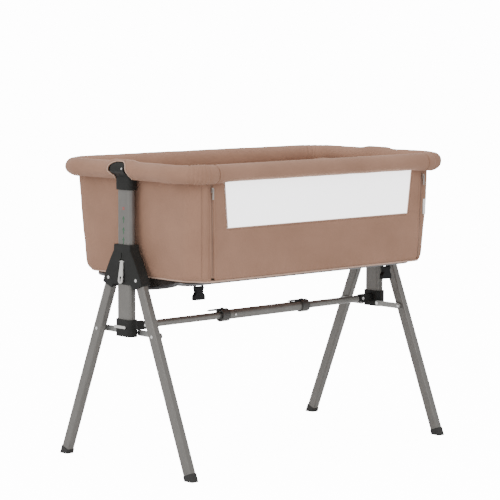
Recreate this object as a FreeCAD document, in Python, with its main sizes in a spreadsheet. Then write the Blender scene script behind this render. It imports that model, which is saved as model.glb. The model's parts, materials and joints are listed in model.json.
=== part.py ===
import FreeCAD, Part
import math
import os

import Sketcher
from FreeCAD import Placement, Rotation, Vector

# Bedside sleeper crib, at real size in millimetres.  The origin is on the floor
# under the middle of the basket: +X runs along the length, the folding side with
# the mesh window faces -Y, and +Z is up.  The left end frame is at -X; the right
# one is its mirror image.

SIZES = {
    "frame_half": 420, "running_gap": 0.3, "fit_gap": 0.05,
    # posts, flat oval tubes that slide one in the other
    "post_width": 51, "post_depth": 23, "post_wall": 1.2, "post_bottom": 311, "post_top": 521,
    "upper_width": 48, "upper_depth": 20, "upper_bottom": 388, "upper_top": 668,
    "lock_height": 455, "lock_pitch": 26, "lock_radius": 3, "lock_head_radius": 5,
    # legs and feet
    "pivot_half": 49, "pivot_height": 444, "foot_half": 225.5, "leg_width": 25, "leg_depth": 20,
    "leg_wall": 1.5, "leg_corner": 4, "leg_end_gap": 9, "foot_wall": 1.6, "foot_sleeve": 16,
    "pivot_rivet_radius": 2.6, "rivet_head_radius": 4, "rivet_head": 1.2,
    # links from the legs to the collars
    "link_drop": 126, "link_inner_half": 27, "link_height": 14, "link_thick": 3, "link_face": 14.9,
    "link_rivet_radius": 2.4, "rivet_shoulder_radius": 4.4,
    # hubs
    "hub_top": 524, "hub_outer": 15, "hub_inner": 14, "hub_top_half": 28.3, "hub_corner": 12,
    "leg_pocket_radius": 13.4, "leg_pocket_depth": 20.8, "recess_floor": 12.6,
    # height levers
    "lever_hinge_height": 485, "lever_hinge_depth": 14.2, "lever_hinge_radius": 0.8,
    "lever_top": 487, "lever_bottom": 433, "lever_top_half": 5, "lever_bottom_half": 8,
    "lever_lean": 6, "lever_thick": 2.2,
    # collars and their clips
    "collar_bottom": 309, "collar_height": 40, "collar_width": 57, "collar_depth": 29,
    "clip_height": 331, "clip_tall": 6.5, "clip_back": 13.2, "clip_thick": 2.8,
    "clip_front_end": 12.5, "clip_back_end": 27, "clip_travel": 6,
    # crossbar
    "bar_height": 331, "bar_radius": 8.5, "bar_wall": 1.3, "bar_pivot": 50, "bar_start": 355,
    "bar_left_end": 60, "bar_right_end": 100, "ear_radius": 10, "ear_width": 15, "tongue_half": 3.9,
    "sleeve_radius": 12, "sleeve_bore": 8.8, "sleeve_left": 120, "sleeve_right": 160,
    "ring_radius": 15.5, "ring_length": 24, "clamp_pivot_radius": 1.4, "button_place": 84,
    "button_radius": 3, "button_length": 3,
    # rail and brackets
    "rail_half_length": 427, "rail_half_width": 225.2, "rail_corner": 65, "rail_height": 694.5,
    "rail_radius": 11, "rail_wall": 1.5, "pad_radius": 22, "pad_bore": 11.3,
    "bracket_bottom": 651, "bracket_step": 673, "bracket_head_half": 24,
    "bracket_sleeve_radius": 14, "bracket_sleeve_half": 44, "bracket_rivet_place": 18.5,
    "hump_thick": 3.2, "hump_half": 30, "hump_end": 52,
    # basket, drop side and what lies in it
    "basket_bottom": 446.5, "basket_top": 672.2, "basket_bottom_length": 392,
    "basket_bottom_width": 216.5, "basket_bottom_corner": 60, "basket_top_length": 403.5,
    "basket_top_width": 221, "basket_top_corner": 55, "basket_wall": 6, "wall_rise": 687,
    "floor_thick": 4,
    "panel_bottom": 451.5, "panel_tall": 221.2, "panel_bottom_half": 343.3, "panel_top_half": 351.3,
    "window_bottom_half": 303.5, "window_top_half": 314.5, "window_sill": 117.5, "seam_gap": 5.7,
    "drop_end": 350.1, "board_length": 376, "board_width": 200.5, "board_bottom": 451,
    "board_thick": 8, "mattress_length": 385, "mattress_width": 208.5, "mattress_corner": 46,
    "mattress_bottom": 459.4, "mattress_thick": 43,
    "base_tube_length": 378, "base_tube_width": 162, "base_tube_corner": 25,
    "base_tube_height": 440.8, "base_tube_sag": 21, "base_tube_radius": 5.4, "base_tube_bore": 4.2,
    # buckles under the base
    "buckle_place": 317, "buckle_front": 135, "buckle_pivot": 436, "buckle_bar_radius": 2.2,
    "buckle_thick": 11, "buckle_half": 16, "buckle_tall": 38,
}

X_AXIS = Vector(1, 0, 0)
Y_AXIS = Vector(0, 1, 0)
Z_AXIS = Vector(0, 0, 1)

DOC = FreeCAD.newDocument("bedside_crib")
SHEET = DOC.addObject("Spreadsheet::Sheet", "Size")
for row, (alias, number) in enumerate(SIZES.items(), start=1):
    SHEET.set(f"A{row}", alias)
    SHEET.set(f"B{row}", str(number))
    SHEET.setAlias(f"B{row}", alias)
DOC.recompute()

PARTS = []


class Dim:
    """A length worked out from the sheet: an expression's text with its present value."""

    def __init__(self, text, value):
        self.text = text
        self.value = float(value)

    def _join(self, other, sign, result, swap=False):
        first, second = (as_dim(other), self) if swap else (self, as_dim(other))
        return Dim(f"({first.text} {sign} {second.text})", result(first.value, second.value))

    def __add__(self, other):
        return self._join(other, "+", lambda a, b: a + b)

    def __radd__(self, other):
        return self._join(other, "+", lambda a, b: a + b, swap=True)

    def __sub__(self, other):
        return self._join(other, "-", lambda a, b: a - b)

    def __rsub__(self, other):
        return self._join(other, "-", lambda a, b: a - b, swap=True)

    def __mul__(self, other):
        return self._join(other, "*", lambda a, b: a * b)

    def __rmul__(self, other):
        return self._join(other, "*", lambda a, b: a * b, swap=True)

    def __truediv__(self, other):
        return self._join(other, "/", lambda a, b: a / b)

    def __neg__(self):
        return Dim(f"(0 - {self.text})", -self.value)


def as_dim(item):
    """A plain number as a Dim; a Dim as it is."""
    return item if isinstance(item, Dim) else Dim(f"{float(item):g}", item)


class Sizes:
    """Reads a cell of the sheet by its alias, as size.post_width."""

    def __getattr__(self, alias):
        return Dim(f"Size.{alias}", SHEET.get(alias))


size = Sizes()


def bind(item, prop, dim):
    """Bind one property of an object to an expression on the sheet."""
    item.setExpression(prop, as_dim(dim).text)


def place(item, x=0, y=0, z=0, axis=Z_AXIS, angle=0):
    """Place an object, with its position bound to the sheet."""
    spot = [as_dim(x), as_dim(y), as_dim(z)]
    item.Placement = Placement(Vector(*[dim.value for dim in spot]), Rotation(axis, as_dim(angle).value))
    for letter, dim in zip("xyz", spot):
        bind(item, f"Placement.Base.{letter}", dim)


def keep(item, label):
    """Name a finished sub-part."""
    item.Label = label
    PARTS.append(item)
    return item


# ---------------------------------------------------------------- sketches and bodies

def new_body(name, **where):
    """An empty body in its place."""
    body = DOC.addObject("PartDesign::Body", name)
    place(body, **where)
    return body


def new_sketch(body, role, offset=0):
    """A sketch on one of the body's own origin planes, moved along its normal."""
    sketch = body.newObject("Sketcher::SketchObject", body.Name + "_sketch")
    plane = [item for item in body.Origin.OriginFeatures if item.Role == role][0]
    sketch.AttachmentSupport = (plane, [""])
    sketch.MapMode = "FlatFace"
    bind(sketch, "AttachmentOffset.Base.z", offset)
    return sketch


def fix_point(sketch, geometry, point, across, up):
    """Hold one point of a sketch at a place bound to the sheet."""
    for kind, dim in (("DistanceX", as_dim(across)), ("DistanceY", as_dim(up))):
        index = sketch.addConstraint(Sketcher.Constraint(kind, -1, 1, geometry, point, dim.value))
        sketch.setExpression(f"Constraints[{index}]", dim.text)


def draw_outline(sketch, points):
    """A closed outline of straight runs through the points."""
    corners = [(as_dim(across), as_dim(up)) for across, up in points]
    spots = [Vector(across.value, up.value, 0) for across, up in corners]
    first = sketch.GeometryCount
    for here, there in zip(spots, spots[1:] + spots[:1]):
        sketch.addGeometry(Part.LineSegment(here, there))
    for i in range(len(corners)):
        following = first + (i + 1) % len(corners)
        sketch.addConstraint(Sketcher.Constraint("Coincident", first + i, 2, following, 1))
        fix_point(sketch, first + i, 1, *corners[i])


def draw_circle(sketch, across, up, radius):
    """A circle with its centre and radius bound to the sheet."""
    across, up, radius = as_dim(across), as_dim(up), as_dim(radius)
    circle = Part.Circle(Vector(across.value, up.value, 0), Z_AXIS, radius.value)
    index = sketch.addGeometry(circle)
    fix_point(sketch, index, 3, across, up)
    row = sketch.addConstraint(Sketcher.Constraint("Radius", index, radius.value))
    sketch.setExpression(f"Constraints[{row}]", radius.text)


def draw_rounded(sketch, across, up, corner):
    """A rectangle with round corners, centred on the sketch's origin."""
    across, up, corner = as_dim(across), as_dim(up), as_dim(corner)
    a, b, r = across.value / 2, up.value / 2, corner.value
    first = sketch.GeometryCount
    runs = [((r - a, -b), (a - r, -b)), ((a, r - b), (a, b - r)),
            ((a - r, b), (r - a, b)), ((-a, b - r), (-a, r - b))]
    for start, end in runs:
        sketch.addGeometry(Part.LineSegment(Vector(*start, 0), Vector(*end, 0)))
    centres = [(a - r, r - b), (a - r, b - r), (r - a, b - r), (r - a, r - b)]
    for i, centre in enumerate(centres):
        circle = Part.Circle(Vector(*centre, 0), Z_AXIS, r)
        sketch.addGeometry(Part.ArcOfCircle(circle, math.radians(90 * i - 90), math.radians(90 * i)))
    for i in range(4):
        arc = first + 4 + i
        sketch.addConstraint(Sketcher.Constraint("Tangent", first + i, 2, arc, 1))
        sketch.addConstraint(Sketcher.Constraint("Tangent", arc, 2, first + (i + 1) % 4, 1))
        sketch.addConstraint(Sketcher.Constraint("Vertical" if i % 2 else "Horizontal", first + i))
        if i:
            sketch.addConstraint(Sketcher.Constraint("Equal", first + 4, arc))
    sketch.addConstraint(Sketcher.Constraint("Symmetric", first + 4, 3, first + 6, 3, -1, 1))
    for spec, dim in (
        (("DistanceX", first + 3, 1, first + 1, 1), across),
        (("DistanceY", first, 1, first + 2, 1), up),
        (("Radius", first + 4), corner),
    ):
        row = sketch.addConstraint(Sketcher.Constraint(*spec, dim.value))
        sketch.setExpression(f"Constraints[{row}]", dim.text)


def extrude(body, kind, sketch, length, both=False, flip=False):
    """A pad or pocket from a sketch; a pocket has to take material away."""
    before = body.Shape.Volume if kind == "Pocket" else 0
    feature = body.newObject(f"PartDesign::{kind}", f"{body.Name}_{kind.lower()}")
    feature.Profile = sketch
    bind(feature, "Length", length)
    feature.SideType = "Symmetric" if both else "One side"
    feature.Reversed = flip
    DOC.recompute()
    if kind == "Pocket" and not body.Shape.Volume < before - 1e-6:
        raise RuntimeError(f"{feature.Name} cuts nothing")
    return feature


def pad(body, role, draw, length, offset=0, **how):
    """Draw a sketch with draw(sketch) and pad it."""
    sketch = new_sketch(body, role, offset)
    draw(sketch)
    return extrude(body, "Pad", sketch, length, **how)


def pocket(body, role, draw, length, offset=0, **how):
    """Draw a sketch with draw(sketch) and cut it out of the body."""
    sketch = new_sketch(body, role, offset)
    draw(sketch)
    return extrude(body, "Pocket", sketch, length, **how)


def round_edges(body, choose, radius):
    """Fillet the edges of the body's tip that choose picks."""
    base = body.Tip
    names = [f"Edge{i}" for i, edge in enumerate(base.Shape.Edges, start=1) if choose(edge)]
    if not names:
        raise RuntimeError(f"{body.Name} has no such edge")
    feature = body.newObject("PartDesign::Fillet", body.Name + "_fillet")
    feature.Base = (base, names)
    bind(feature, "Radius", radius)
    DOC.recompute()
    return feature


def runs_along(axis):
    """Picks straight edges that run along an axis."""
    def choose(edge):
        straight = isinstance(edge.Curve, (Part.Line, Part.LineSegment))
        return straight and abs(edge.tangentAt(edge.FirstParameter).dot(axis)) > 0.999
    return choose


def lies_at(axis, distance):
    """Picks edges that lie in the plane across the axis at the distance."""
    def choose(edge):
        box = edge.BoundBox
        low = Vector(box.XMin, box.YMin, box.ZMin).dot(axis)
        high = Vector(box.XMax, box.YMax, box.ZMax).dot(axis)
        return abs(low - distance.value) < 0.01 and abs(high - distance.value) < 0.01
    return choose


# ---------------------------------------------------------------- primitives

def cylinder(name, radius, length, x=0, y=0, z=0, axis=Z_AXIS):
    """A cylinder from a point along an axis."""
    item = DOC.addObject("Part::Cylinder", name)
    bind(item, "Radius", radius)
    bind(item, "Height", length)
    place(item, x, y, z)
    item.Placement = Placement(item.Placement.Base, Rotation(Z_AXIS, axis))
    for letter, dim in zip("xyz", (x, y, z)):
        bind(item, f"Placement.Base.{letter}", dim)
    return item


def box(name, low, high):
    """A box between two corners."""
    item = DOC.addObject("Part::Box", name)
    for prop, start, end in zip(("Length", "Width", "Height"), low, high):
        bind(item, prop, as_dim(end) - start)
    place(item, *low)
    return item


def fuse(name, items):
    """One solid from several that touch."""
    item = DOC.addObject("Part::MultiFuse", name)
    item.Shapes = items
    item.Refine = True
    return item


def cut(name, base, *tools):
    """The base without the tools."""
    item = DOC.addObject("Part::Cut", name)
    item.Base = base
    item.Tool = tools[0] if len(tools) == 1 else fuse(name + "_tools", list(tools))
    return item


def group(name, items):
    """Separate solids of one kind, kept together."""
    item = DOC.addObject("Part::Compound", name)
    item.Links = items
    return item


def mirrored(name, source, normal):
    """The mirror image of an object about the plane through the origin."""
    item = DOC.addObject("Part::Mirroring", name)
    item.Source = source
    item.Normal = normal
    return item


def keep_pair(source, name):
    """Keep the left piece and its mirror image on the right."""
    keep(source, name + "_left")
    keep(mirrored(name + "_right", source, X_AXIS), name + "_right")


def keep_both_as_one(source, name):
    """Keep the left piece and its mirror image as one group."""
    keep(group(name, [source, mirrored(name + "_mirror", source, X_AXIS)]), name)


def tube(name, outer, bore, length, **where):
    """A straight round tube."""
    return cut(name, cylinder(name + "_outside", outer, length, **where),
               cylinder(name + "_inside", bore, length, **where))


def rivet(name, radius, low, high, y, z, head_radius=None):
    """A rivet along X between two faces, with a low domed head on each."""
    head_radius = head_radius or size.rivet_head_radius
    items = [cylinder(name + "_shank", radius, high - low, x=low, y=y, z=z, axis=X_AXIS)]
    for end, start, axis in (("low", low, Vector(-1, 0, 0)), ("high", high, X_AXIS)):
        head = DOC.addObject("Part::Cone", f"{name}_{end}_head")
        bind(head, "Radius1", head_radius)
        bind(head, "Radius2", head_radius * 0.62)
        bind(head, "Height", size.rivet_head)
        head.Placement = Placement(Vector(0, 0, 0), Rotation(Z_AXIS, axis))
        for letter, dim in zip("xyz", (start, y, z)):
            bind(head, f"Placement.Base.{letter}", dim)
        items.append(head)
    return fuse(name, items)


# ---------------------------------------------------------------- posts

def oval_tube(name, width, depth, bottom, top):
    """A flat oval tube standing on the left frame's axis."""
    body = new_body(name, x=-size.frame_half)
    wall = size.post_wall

    def draw(sketch):
        draw_rounded(sketch, depth, width, depth / 2 - 0.1)
        draw_rounded(sketch, depth - 2 * wall, width - 2 * wall, depth / 2 - wall - 0.1)

    pad(body, "XY_Plane", draw, top - bottom, offset=bottom)
    return body


def make_posts():
    """The lower and upper posts, with the lock holes in their outer walls."""
    lower = oval_tube("lower_post", size.post_width, size.post_depth, size.post_bottom, size.post_top)
    hole = size.lock_radius + size.fit_gap
    pocket(lower, "YZ_Plane", lambda sketch: draw_circle(sketch, 0, size.lock_height, hole), size.post_depth)
    keep_pair(lower, "lower_post")

    upper = oval_tube("upper_post", size.upper_width, size.upper_depth, size.upper_bottom, size.upper_top)

    def draw_holes(sketch):
        for step in range(-2, 3):
            draw_circle(sketch, 0, size.lock_height + step * size.lock_pitch, hole)

    pocket(upper, "YZ_Plane", draw_holes, size.upper_depth)
    keep_pair(upper, "upper_post")

    plug = new_body("post_plug", x=-size.frame_half)
    slack = 0.2
    inside = size.post_depth - 2 * size.post_wall - slack
    across = size.post_width - 2 * size.post_wall - slack
    pad(plug, "XY_Plane", lambda sketch: draw_rounded(sketch, inside, across, inside / 2 - 0.1),
        12, offset=size.post_bottom)
    flange = 1.5
    pad(plug, "XY_Plane", lambda sketch: draw_rounded(sketch, inside + 2, across + 2, inside / 2),
        flange, offset=size.post_bottom - flange)
    keep_both_as_one(plug, "post_end_plugs")


# ---------------------------------------------------------------- legs, feet and links

leg_rise = Dim("hypot(Size.foot_half - Size.pivot_half; Size.pivot_height)",
               math.hypot(225.5 - 49, 444))
lean = Dim("atan((Size.foot_half - Size.pivot_half) / Size.pivot_height)",
           math.degrees(math.atan((225.5 - 49) / 444)))
link_reach = size.link_drop / Dim("cos(atan((Size.foot_half - Size.pivot_half) / Size.pivot_height))",
                                  math.cos(math.radians(lean.value)))
link_outer_half = size.pivot_half + size.link_drop * (size.foot_half - size.pivot_half) / size.pivot_height
link_height = size.pivot_height - size.link_drop


def leg_body(name):
    """A body whose origin is the front left leg's pivot, with -Z down the leg."""
    return new_body(name, x=-size.frame_half, y=-size.pivot_half, z=size.pivot_height,
                    axis=X_AXIS, angle=-lean.value)


def make_leg():
    """A rounded rectangular tube with a round top and two rivet holes."""
    leg = leg_body("leg_front")
    depth, width, wall, corner = size.leg_depth, size.leg_width, size.leg_wall, size.leg_corner

    def draw(sketch):
        draw_rounded(sketch, depth, width, corner)
        draw_rounded(sketch, depth - 2 * wall, width - 2 * wall, corner - wall)

    length = leg_rise - size.leg_end_gap
    pad(leg, "XY_Plane", draw, length + width / 2, offset=-length)

    def draw_cap(sketch):
        radius = width / 2
        far = radius.value + 3
        arc = Part.ArcOfCircle(Part.Circle(Vector(0, 0, 0), Z_AXIS, radius.value), 0, math.pi)
        sketch.addGeometry(arc)
        corners = [(-radius.value, 0), (-far, 0), (-far, far), (far, far), (far, 0), (radius.value, 0)]
        for start, end in zip(corners, corners[1:]):
            sketch.addGeometry(Part.LineSegment(Vector(*start, 0), Vector(*end, 0)))
        for i in range(5):
            sketch.addConstraint(Sketcher.Constraint("Coincident", i, 2, i + 1, 1))
        sketch.addConstraint(Sketcher.Constraint("Coincident", 5, 2, 0, 1))
        fix_point(sketch, 0, 3, 0, 0)
        row = sketch.addConstraint(Sketcher.Constraint("Radius", 0, radius.value))
        sketch.setExpression(f"Constraints[{row}]", radius.text)

    pocket(leg, "YZ_Plane", draw_cap, depth * 2, both=True)
    for radius, drop in ((size.pivot_rivet_radius, 0), (size.link_rivet_radius, link_reach)):
        pocket(leg, "YZ_Plane",
               lambda sketch, r=radius, d=drop: draw_circle(sketch, 0, -as_dim(d), r + size.fit_gap),
               depth * 2, both=True)
    return leg


def make_foot():
    """A rubber boot round the leg's end, cut flat where it stands on the floor."""
    boot = leg_body("boot")
    depth, width, wall = size.leg_depth, size.leg_width, size.foot_wall
    below = 10
    pad(boot, "XY_Plane",
        lambda sketch: draw_rounded(sketch, depth + 2 * wall, width + 2 * wall, size.leg_corner + wall),
        size.foot_sleeve + below, offset=-leg_rise - below)
    round_edges(boot, lies_at(Z_AXIS, size.foot_sleeve - leg_rise), 0.8)
    snug = 2 * size.fit_gap
    pocket(boot, "XY_Plane",
           lambda sketch: draw_rounded(sketch, depth + snug, width + snug, size.leg_corner),
           size.foot_sleeve + below, offset=-leg_rise + size.leg_end_gap, flip=True)
    span = 800
    floor = box("floor_cut", (-span, -span, -50), (span, span, 0))
    return cut("foot_front", boot, floor)


def make_legs_and_feet():
    """Four legs, and their feet as a front and a back pair."""
    leg = make_leg()
    keep_pair(leg, "leg_front")
    back = mirrored("leg_back", leg, Y_AXIS)
    keep_pair(back, "leg_back")
    foot = make_foot()
    feet = group("front_feet", [foot, mirrored("foot_front_mirror", foot, X_AXIS)])
    keep(feet, "front_feet")
    keep(mirrored("back_feet", feet, Y_AXIS), "back_feet")


def make_links():
    """Flat links on the inner side of the legs, and the rivets that ride with them."""
    link = new_body("link_front", x=-size.frame_half)
    half = size.link_height / 2
    outer, inner = -link_outer_half, -size.link_inner_half
    face = size.link_face

    pad(link, "YZ_Plane", lambda sketch: draw_outline(sketch, [
        (outer, link_height - half), (inner, link_height - half),
        (inner, link_height + half), (outer, link_height + half)]), size.link_thick, offset=face)
    for across in (outer, inner):
        pad(link, "YZ_Plane", lambda sketch, y=across: draw_circle(sketch, y, link_height, half),
            size.link_thick, offset=face)
        pocket(link, "YZ_Plane",
               lambda sketch, y=across: draw_circle(sketch, y, link_height, size.link_rivet_radius),
               size.link_thick, offset=face, flip=True)
    keep_pair(link, "link_front")
    keep_pair(mirrored("link_back", link, Y_AXIS), "link_back")

    start = -size.frame_half
    leg_face = size.leg_depth / 2
    back_face = start + face + size.link_thick
    outer_rivet = rivet("link_outer_rivet", size.link_rivet_radius, start - leg_face - 0.1, back_face,
                        outer, link_height)
    spacer = cylinder("link_spacer", size.rivet_shoulder_radius, face - leg_face - 0.3,
                      x=start + leg_face + 0.3, y=outer, z=link_height, axis=X_AXIS)
    outer_rivet = fuse("link_outer_rivet_shouldered", [outer_rivet, spacer])
    inner_rivet = cylinder("link_inner_shank", size.link_rivet_radius, size.link_thick,
                           x=start + face, y=inner, z=link_height, axis=X_AXIS)
    inner_head = cylinder("link_inner_head", size.rivet_head_radius, size.rivet_head,
                          x=back_face, y=inner, z=link_height, axis=X_AXIS)
    inner_rivet = fuse("link_inner_rivet", [inner_rivet, inner_head])
    left = group("link_rivets_one_side", [outer_rivet, inner_rivet])
    front = group("front_link_rivets", [left, mirrored("link_rivets_mirror", left, X_AXIS)])
    keep(front, "front_link_rivets")
    keep(mirrored("back_link_rivets", front, Y_AXIS), "back_link_rivets")


# ---------------------------------------------------------------- hubs and height levers

HUB_HALF_OUTLINE = [
    # half width and height of each corner, from the top down to the arch over the post
    (28.3, 524), (29.3, 510), (40, 493), (52, 471), (64, 447), (69.8, 433.5),
    (66, 431), (37.5, 420.5), (31, 431),
]


def draw_hub(sketch):
    """The bell-shaped outline of a hub, with a lobe over each leg."""
    right = [(size.hub_top_half + (half - 28.3), size.hub_top - (524 - height))
             for half, height in HUB_HALF_OUTLINE]
    left = [(-half, height) for half, height in reversed(right)]
    draw_outline(sketch, left + right)


def draw_leg_room(sketch, side):
    """The room that a leg sweeps under its pivot, from open to folded."""
    y, z, r = size.pivot_half, size.pivot_height, size.leg_pocket_radius
    draw_outline(sketch, [
        (side * (y - r - 0.2), z + 2), (side * (y + r * 0.885), z + r * 0.373),
        (side * (y + r * 2), z - r * 2.42), (side * (y - r - 0.2), z - r * 2.42)])


def make_hub_shell(name, depth, outward):
    """Half of a hub, outer (outward) or inner, with room for the post and the legs."""
    shell = new_body(name, x=-size.frame_half)
    pad(shell, "YZ_Plane", draw_hub, depth, flip=outward)
    round_edges(shell, lambda edge: runs_along(X_AXIS)(edge) and edge.BoundBox.ZMax < 523, 3)
    sign = -1 if outward else 1
    round_edges(shell, lies_at(X_AXIS, sign * depth), 2)
    room = 2 * size.fit_gap
    corner = size.post_depth / 2
    pocket(shell, "XY_Plane", lambda sketch: draw_rounded(
        sketch, size.post_depth + room, size.post_width + room, corner), 300, offset=size.post_top)
    gap = 2 * size.running_gap
    pocket(shell, "XY_Plane", lambda sketch: draw_rounded(
        sketch, size.upper_depth + gap, size.upper_width + gap, size.upper_depth / 2),
        300, offset=size.hub_top + 1)
    for side in (-1, 1):
        pocket(shell, "YZ_Plane", lambda sketch, s=side: draw_circle(
            sketch, s * size.pivot_half, size.pivot_height, size.leg_pocket_radius),
            size.leg_pocket_depth, both=True)
        pocket(shell, "YZ_Plane", lambda sketch, s=side: draw_leg_room(sketch, s),
               size.leg_pocket_depth, both=True)
        pocket(shell, "YZ_Plane", lambda sketch, s=side: draw_circle(
            sketch, s * size.pivot_half, size.pivot_height, size.pivot_rivet_radius), 100, both=True)
    return shell


def cut_lever_recess(shell):
    """The recess for the lever, its hinge slot, the lock pin's hole and the mark above."""
    face, floor = size.hub_outer, size.recess_floor
    depth = face - floor
    pocket(shell, "YZ_Plane", lambda sketch: draw_outline(sketch, [
        (-11, 431), (11, 431), (11.5, 452), (8, 486), (5.5, 490), (-5.5, 490), (-8, 486), (-11.5, 452)]),
        depth, offset=-face, flip=True)
    pocket(shell, "YZ_Plane", lambda sketch: draw_outline(sketch, [
        (-5.8, 476), (5.8, 476), (5.8, 489), (-5.8, 489)]), face - 11.8, offset=-face, flip=True)
    pocket(shell, "YZ_Plane", lambda sketch: draw_circle(
        sketch, 0, size.lock_height, size.lock_head_radius + 0.3), 6, offset=-face, flip=True)
    pocket(shell, "YZ_Plane", lambda sketch: draw_outline(sketch, [
        (-1.4, 491.5), (1.4, 491.5), (1.4, 505), (-1.4, 505)]), 1.2, offset=-face, flip=True)
    pocket(shell, "XZ_Plane", lambda sketch: draw_circle(
        sketch, -size.lever_hinge_depth, size.lever_hinge_height, size.lever_hinge_radius + 0.01), 20, both=True)


def make_hubs():
    """The hub shells and the rivets that the legs turn on."""
    outer = make_hub_shell("hub_outer_shell", size.hub_outer, True)
    cut_lever_recess(outer)
    keep_pair(outer, "hub_outer_shell")
    inner = make_hub_shell("hub_inner_shell", size.hub_inner, False)
    keep_pair(inner, "hub_inner_shell")
    rivets = [rivet(f"pivot_rivet_{side}", size.pivot_rivet_radius - 0.02,
                    -size.frame_half - size.hub_outer, -size.frame_half + size.hub_inner,
                    sign * size.pivot_half, size.pivot_height)
              for side, sign in (("front", -1), ("back", 1))]
    keep_both_as_one(group("pivot_rivets_left", rivets), "leg_pivot_rivets")


def make_height_lever():
    """The teardrop lever with its keyhole, its hinge pin and the lock pin behind it."""
    hinge, depth = size.lever_hinge_height, size.lever_hinge_depth
    lever = new_body("height_lever", x=-size.frame_half - depth, z=hinge, axis=Y_AXIS,
                     angle=size.lever_lean)
    thick = size.lever_thick
    top_half, low_half = size.lever_top_half, size.lever_bottom_half
    top, low_centre = size.lever_top - hinge, size.lever_bottom - hinge + size.lever_bottom_half
    pad(lever, "YZ_Plane", lambda sketch: draw_outline(sketch, [
        (-low_half, low_centre), (low_half, low_centre), (top_half, top - 2), (top_half - 2, top),
        (2 - top_half, top), (-top_half, top - 2)]), thick, both=True)
    pad(lever, "YZ_Plane", lambda sketch: draw_circle(sketch, 0, low_centre, low_half), thick, both=True)
    pocket(lever, "YZ_Plane", lambda sketch: draw_circle(sketch, 0, low_centre + 6, 3.4), 60, both=True)
    pocket(lever, "YZ_Plane", lambda sketch: draw_outline(sketch, [
        (-1.7, low_centre - 3), (1.7, low_centre - 3), (1.7, low_centre + 6), (-1.7, low_centre + 6)]),
        60, both=True)
    bore = size.lever_hinge_radius + size.fit_gap
    pocket(lever, "XZ_Plane", lambda sketch: draw_circle(sketch, 0, 0, bore), 60, both=True)
    keep_pair(lever, "height_lever")

    span = 8.5
    pin = cylinder("lever_hinge_pin", size.lever_hinge_radius, 2 * span,
                   x=-size.frame_half - size.lever_hinge_depth, y=-span, z=size.lever_hinge_height,
                   axis=Y_AXIS)
    keep_both_as_one(pin, "lever_hinge_pins")

    tip = size.upper_depth / 2 + 0.25
    shank = cylinder("lock_pin_shank", size.lock_radius, size.recess_floor - tip,
                     x=-size.frame_half - size.recess_floor, z=size.lock_height, axis=X_AXIS)
    head = cylinder("lock_pin_head", size.lock_head_radius, 0.9,
                    x=-size.frame_half - size.recess_floor, z=size.lock_height, axis=X_AXIS)
    keep_pair(fuse("lock_pin", [shank, head]), "lock_pin")


# ---------------------------------------------------------------- collars and crossbar

def make_collars():
    """The sliding collars with their crossbar forks, and the release clips."""
    collar = new_body("collar", x=-size.frame_half)
    gap = 2 * size.running_gap
    depth, width = size.collar_depth, size.collar_width

    def draw(sketch):
        draw_rounded(sketch, depth, width, 12)
        draw_rounded(sketch, size.post_depth + gap, size.post_width + gap, size.post_depth / 2)

    pad(collar, "XY_Plane", draw, size.collar_height, offset=size.collar_bottom)
    reach, height, ear = size.bar_pivot, size.bar_height, size.ear_radius
    pad(collar, "XZ_Plane", lambda sketch: draw_outline(sketch, [
        (12.5, height - ear), (reach, height - ear), (reach, height + ear), (12.5, height + ear)]),
        size.ear_width, both=True)
    pad(collar, "XZ_Plane", lambda sketch: draw_circle(sketch, reach, height, ear), size.ear_width, both=True)
    pocket(collar, "XZ_Plane", lambda sketch: draw_outline(sketch, [
        (reach - ear - 3.5, height - ear - 2), (reach + ear + 2, height - ear - 2),
        (reach + ear + 2, height + ear + 2), (reach - ear - 3.5, height + ear + 2)]),
        2 * size.tongue_half + 0.4, both=True)
    pocket(collar, "XZ_Plane", lambda sketch: draw_circle(
        sketch, reach, height, size.link_rivet_radius + size.fit_gap), 60, both=True)
    half = size.clip_tall / 2 + 0.3
    low, high = size.clip_height - half, size.clip_height + half
    front = -size.clip_front_end - size.clip_travel - 1
    pocket(collar, "YZ_Plane", lambda sketch: draw_outline(sketch, [
        (front, low), (40, low), (40, high), (front, high)]),
        8, offset=-size.clip_back + 0.3, flip=False)
    keep_pair(collar, "collar")

    clip = new_body("collar_clip", x=-size.frame_half)
    half = size.clip_tall / 2
    low, high = size.clip_height - half, size.clip_height + half
    pad(clip, "YZ_Plane", lambda sketch: draw_outline(sketch, [
        (-size.clip_front_end, low), (size.clip_back_end, low),
        (size.clip_back_end, high), (-size.clip_front_end, high)]),
        size.clip_thick, offset=-size.clip_back, flip=True)
    round_edges(clip, runs_along(X_AXIS), 2)
    keep_pair(clip, "collar_clip")


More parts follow.
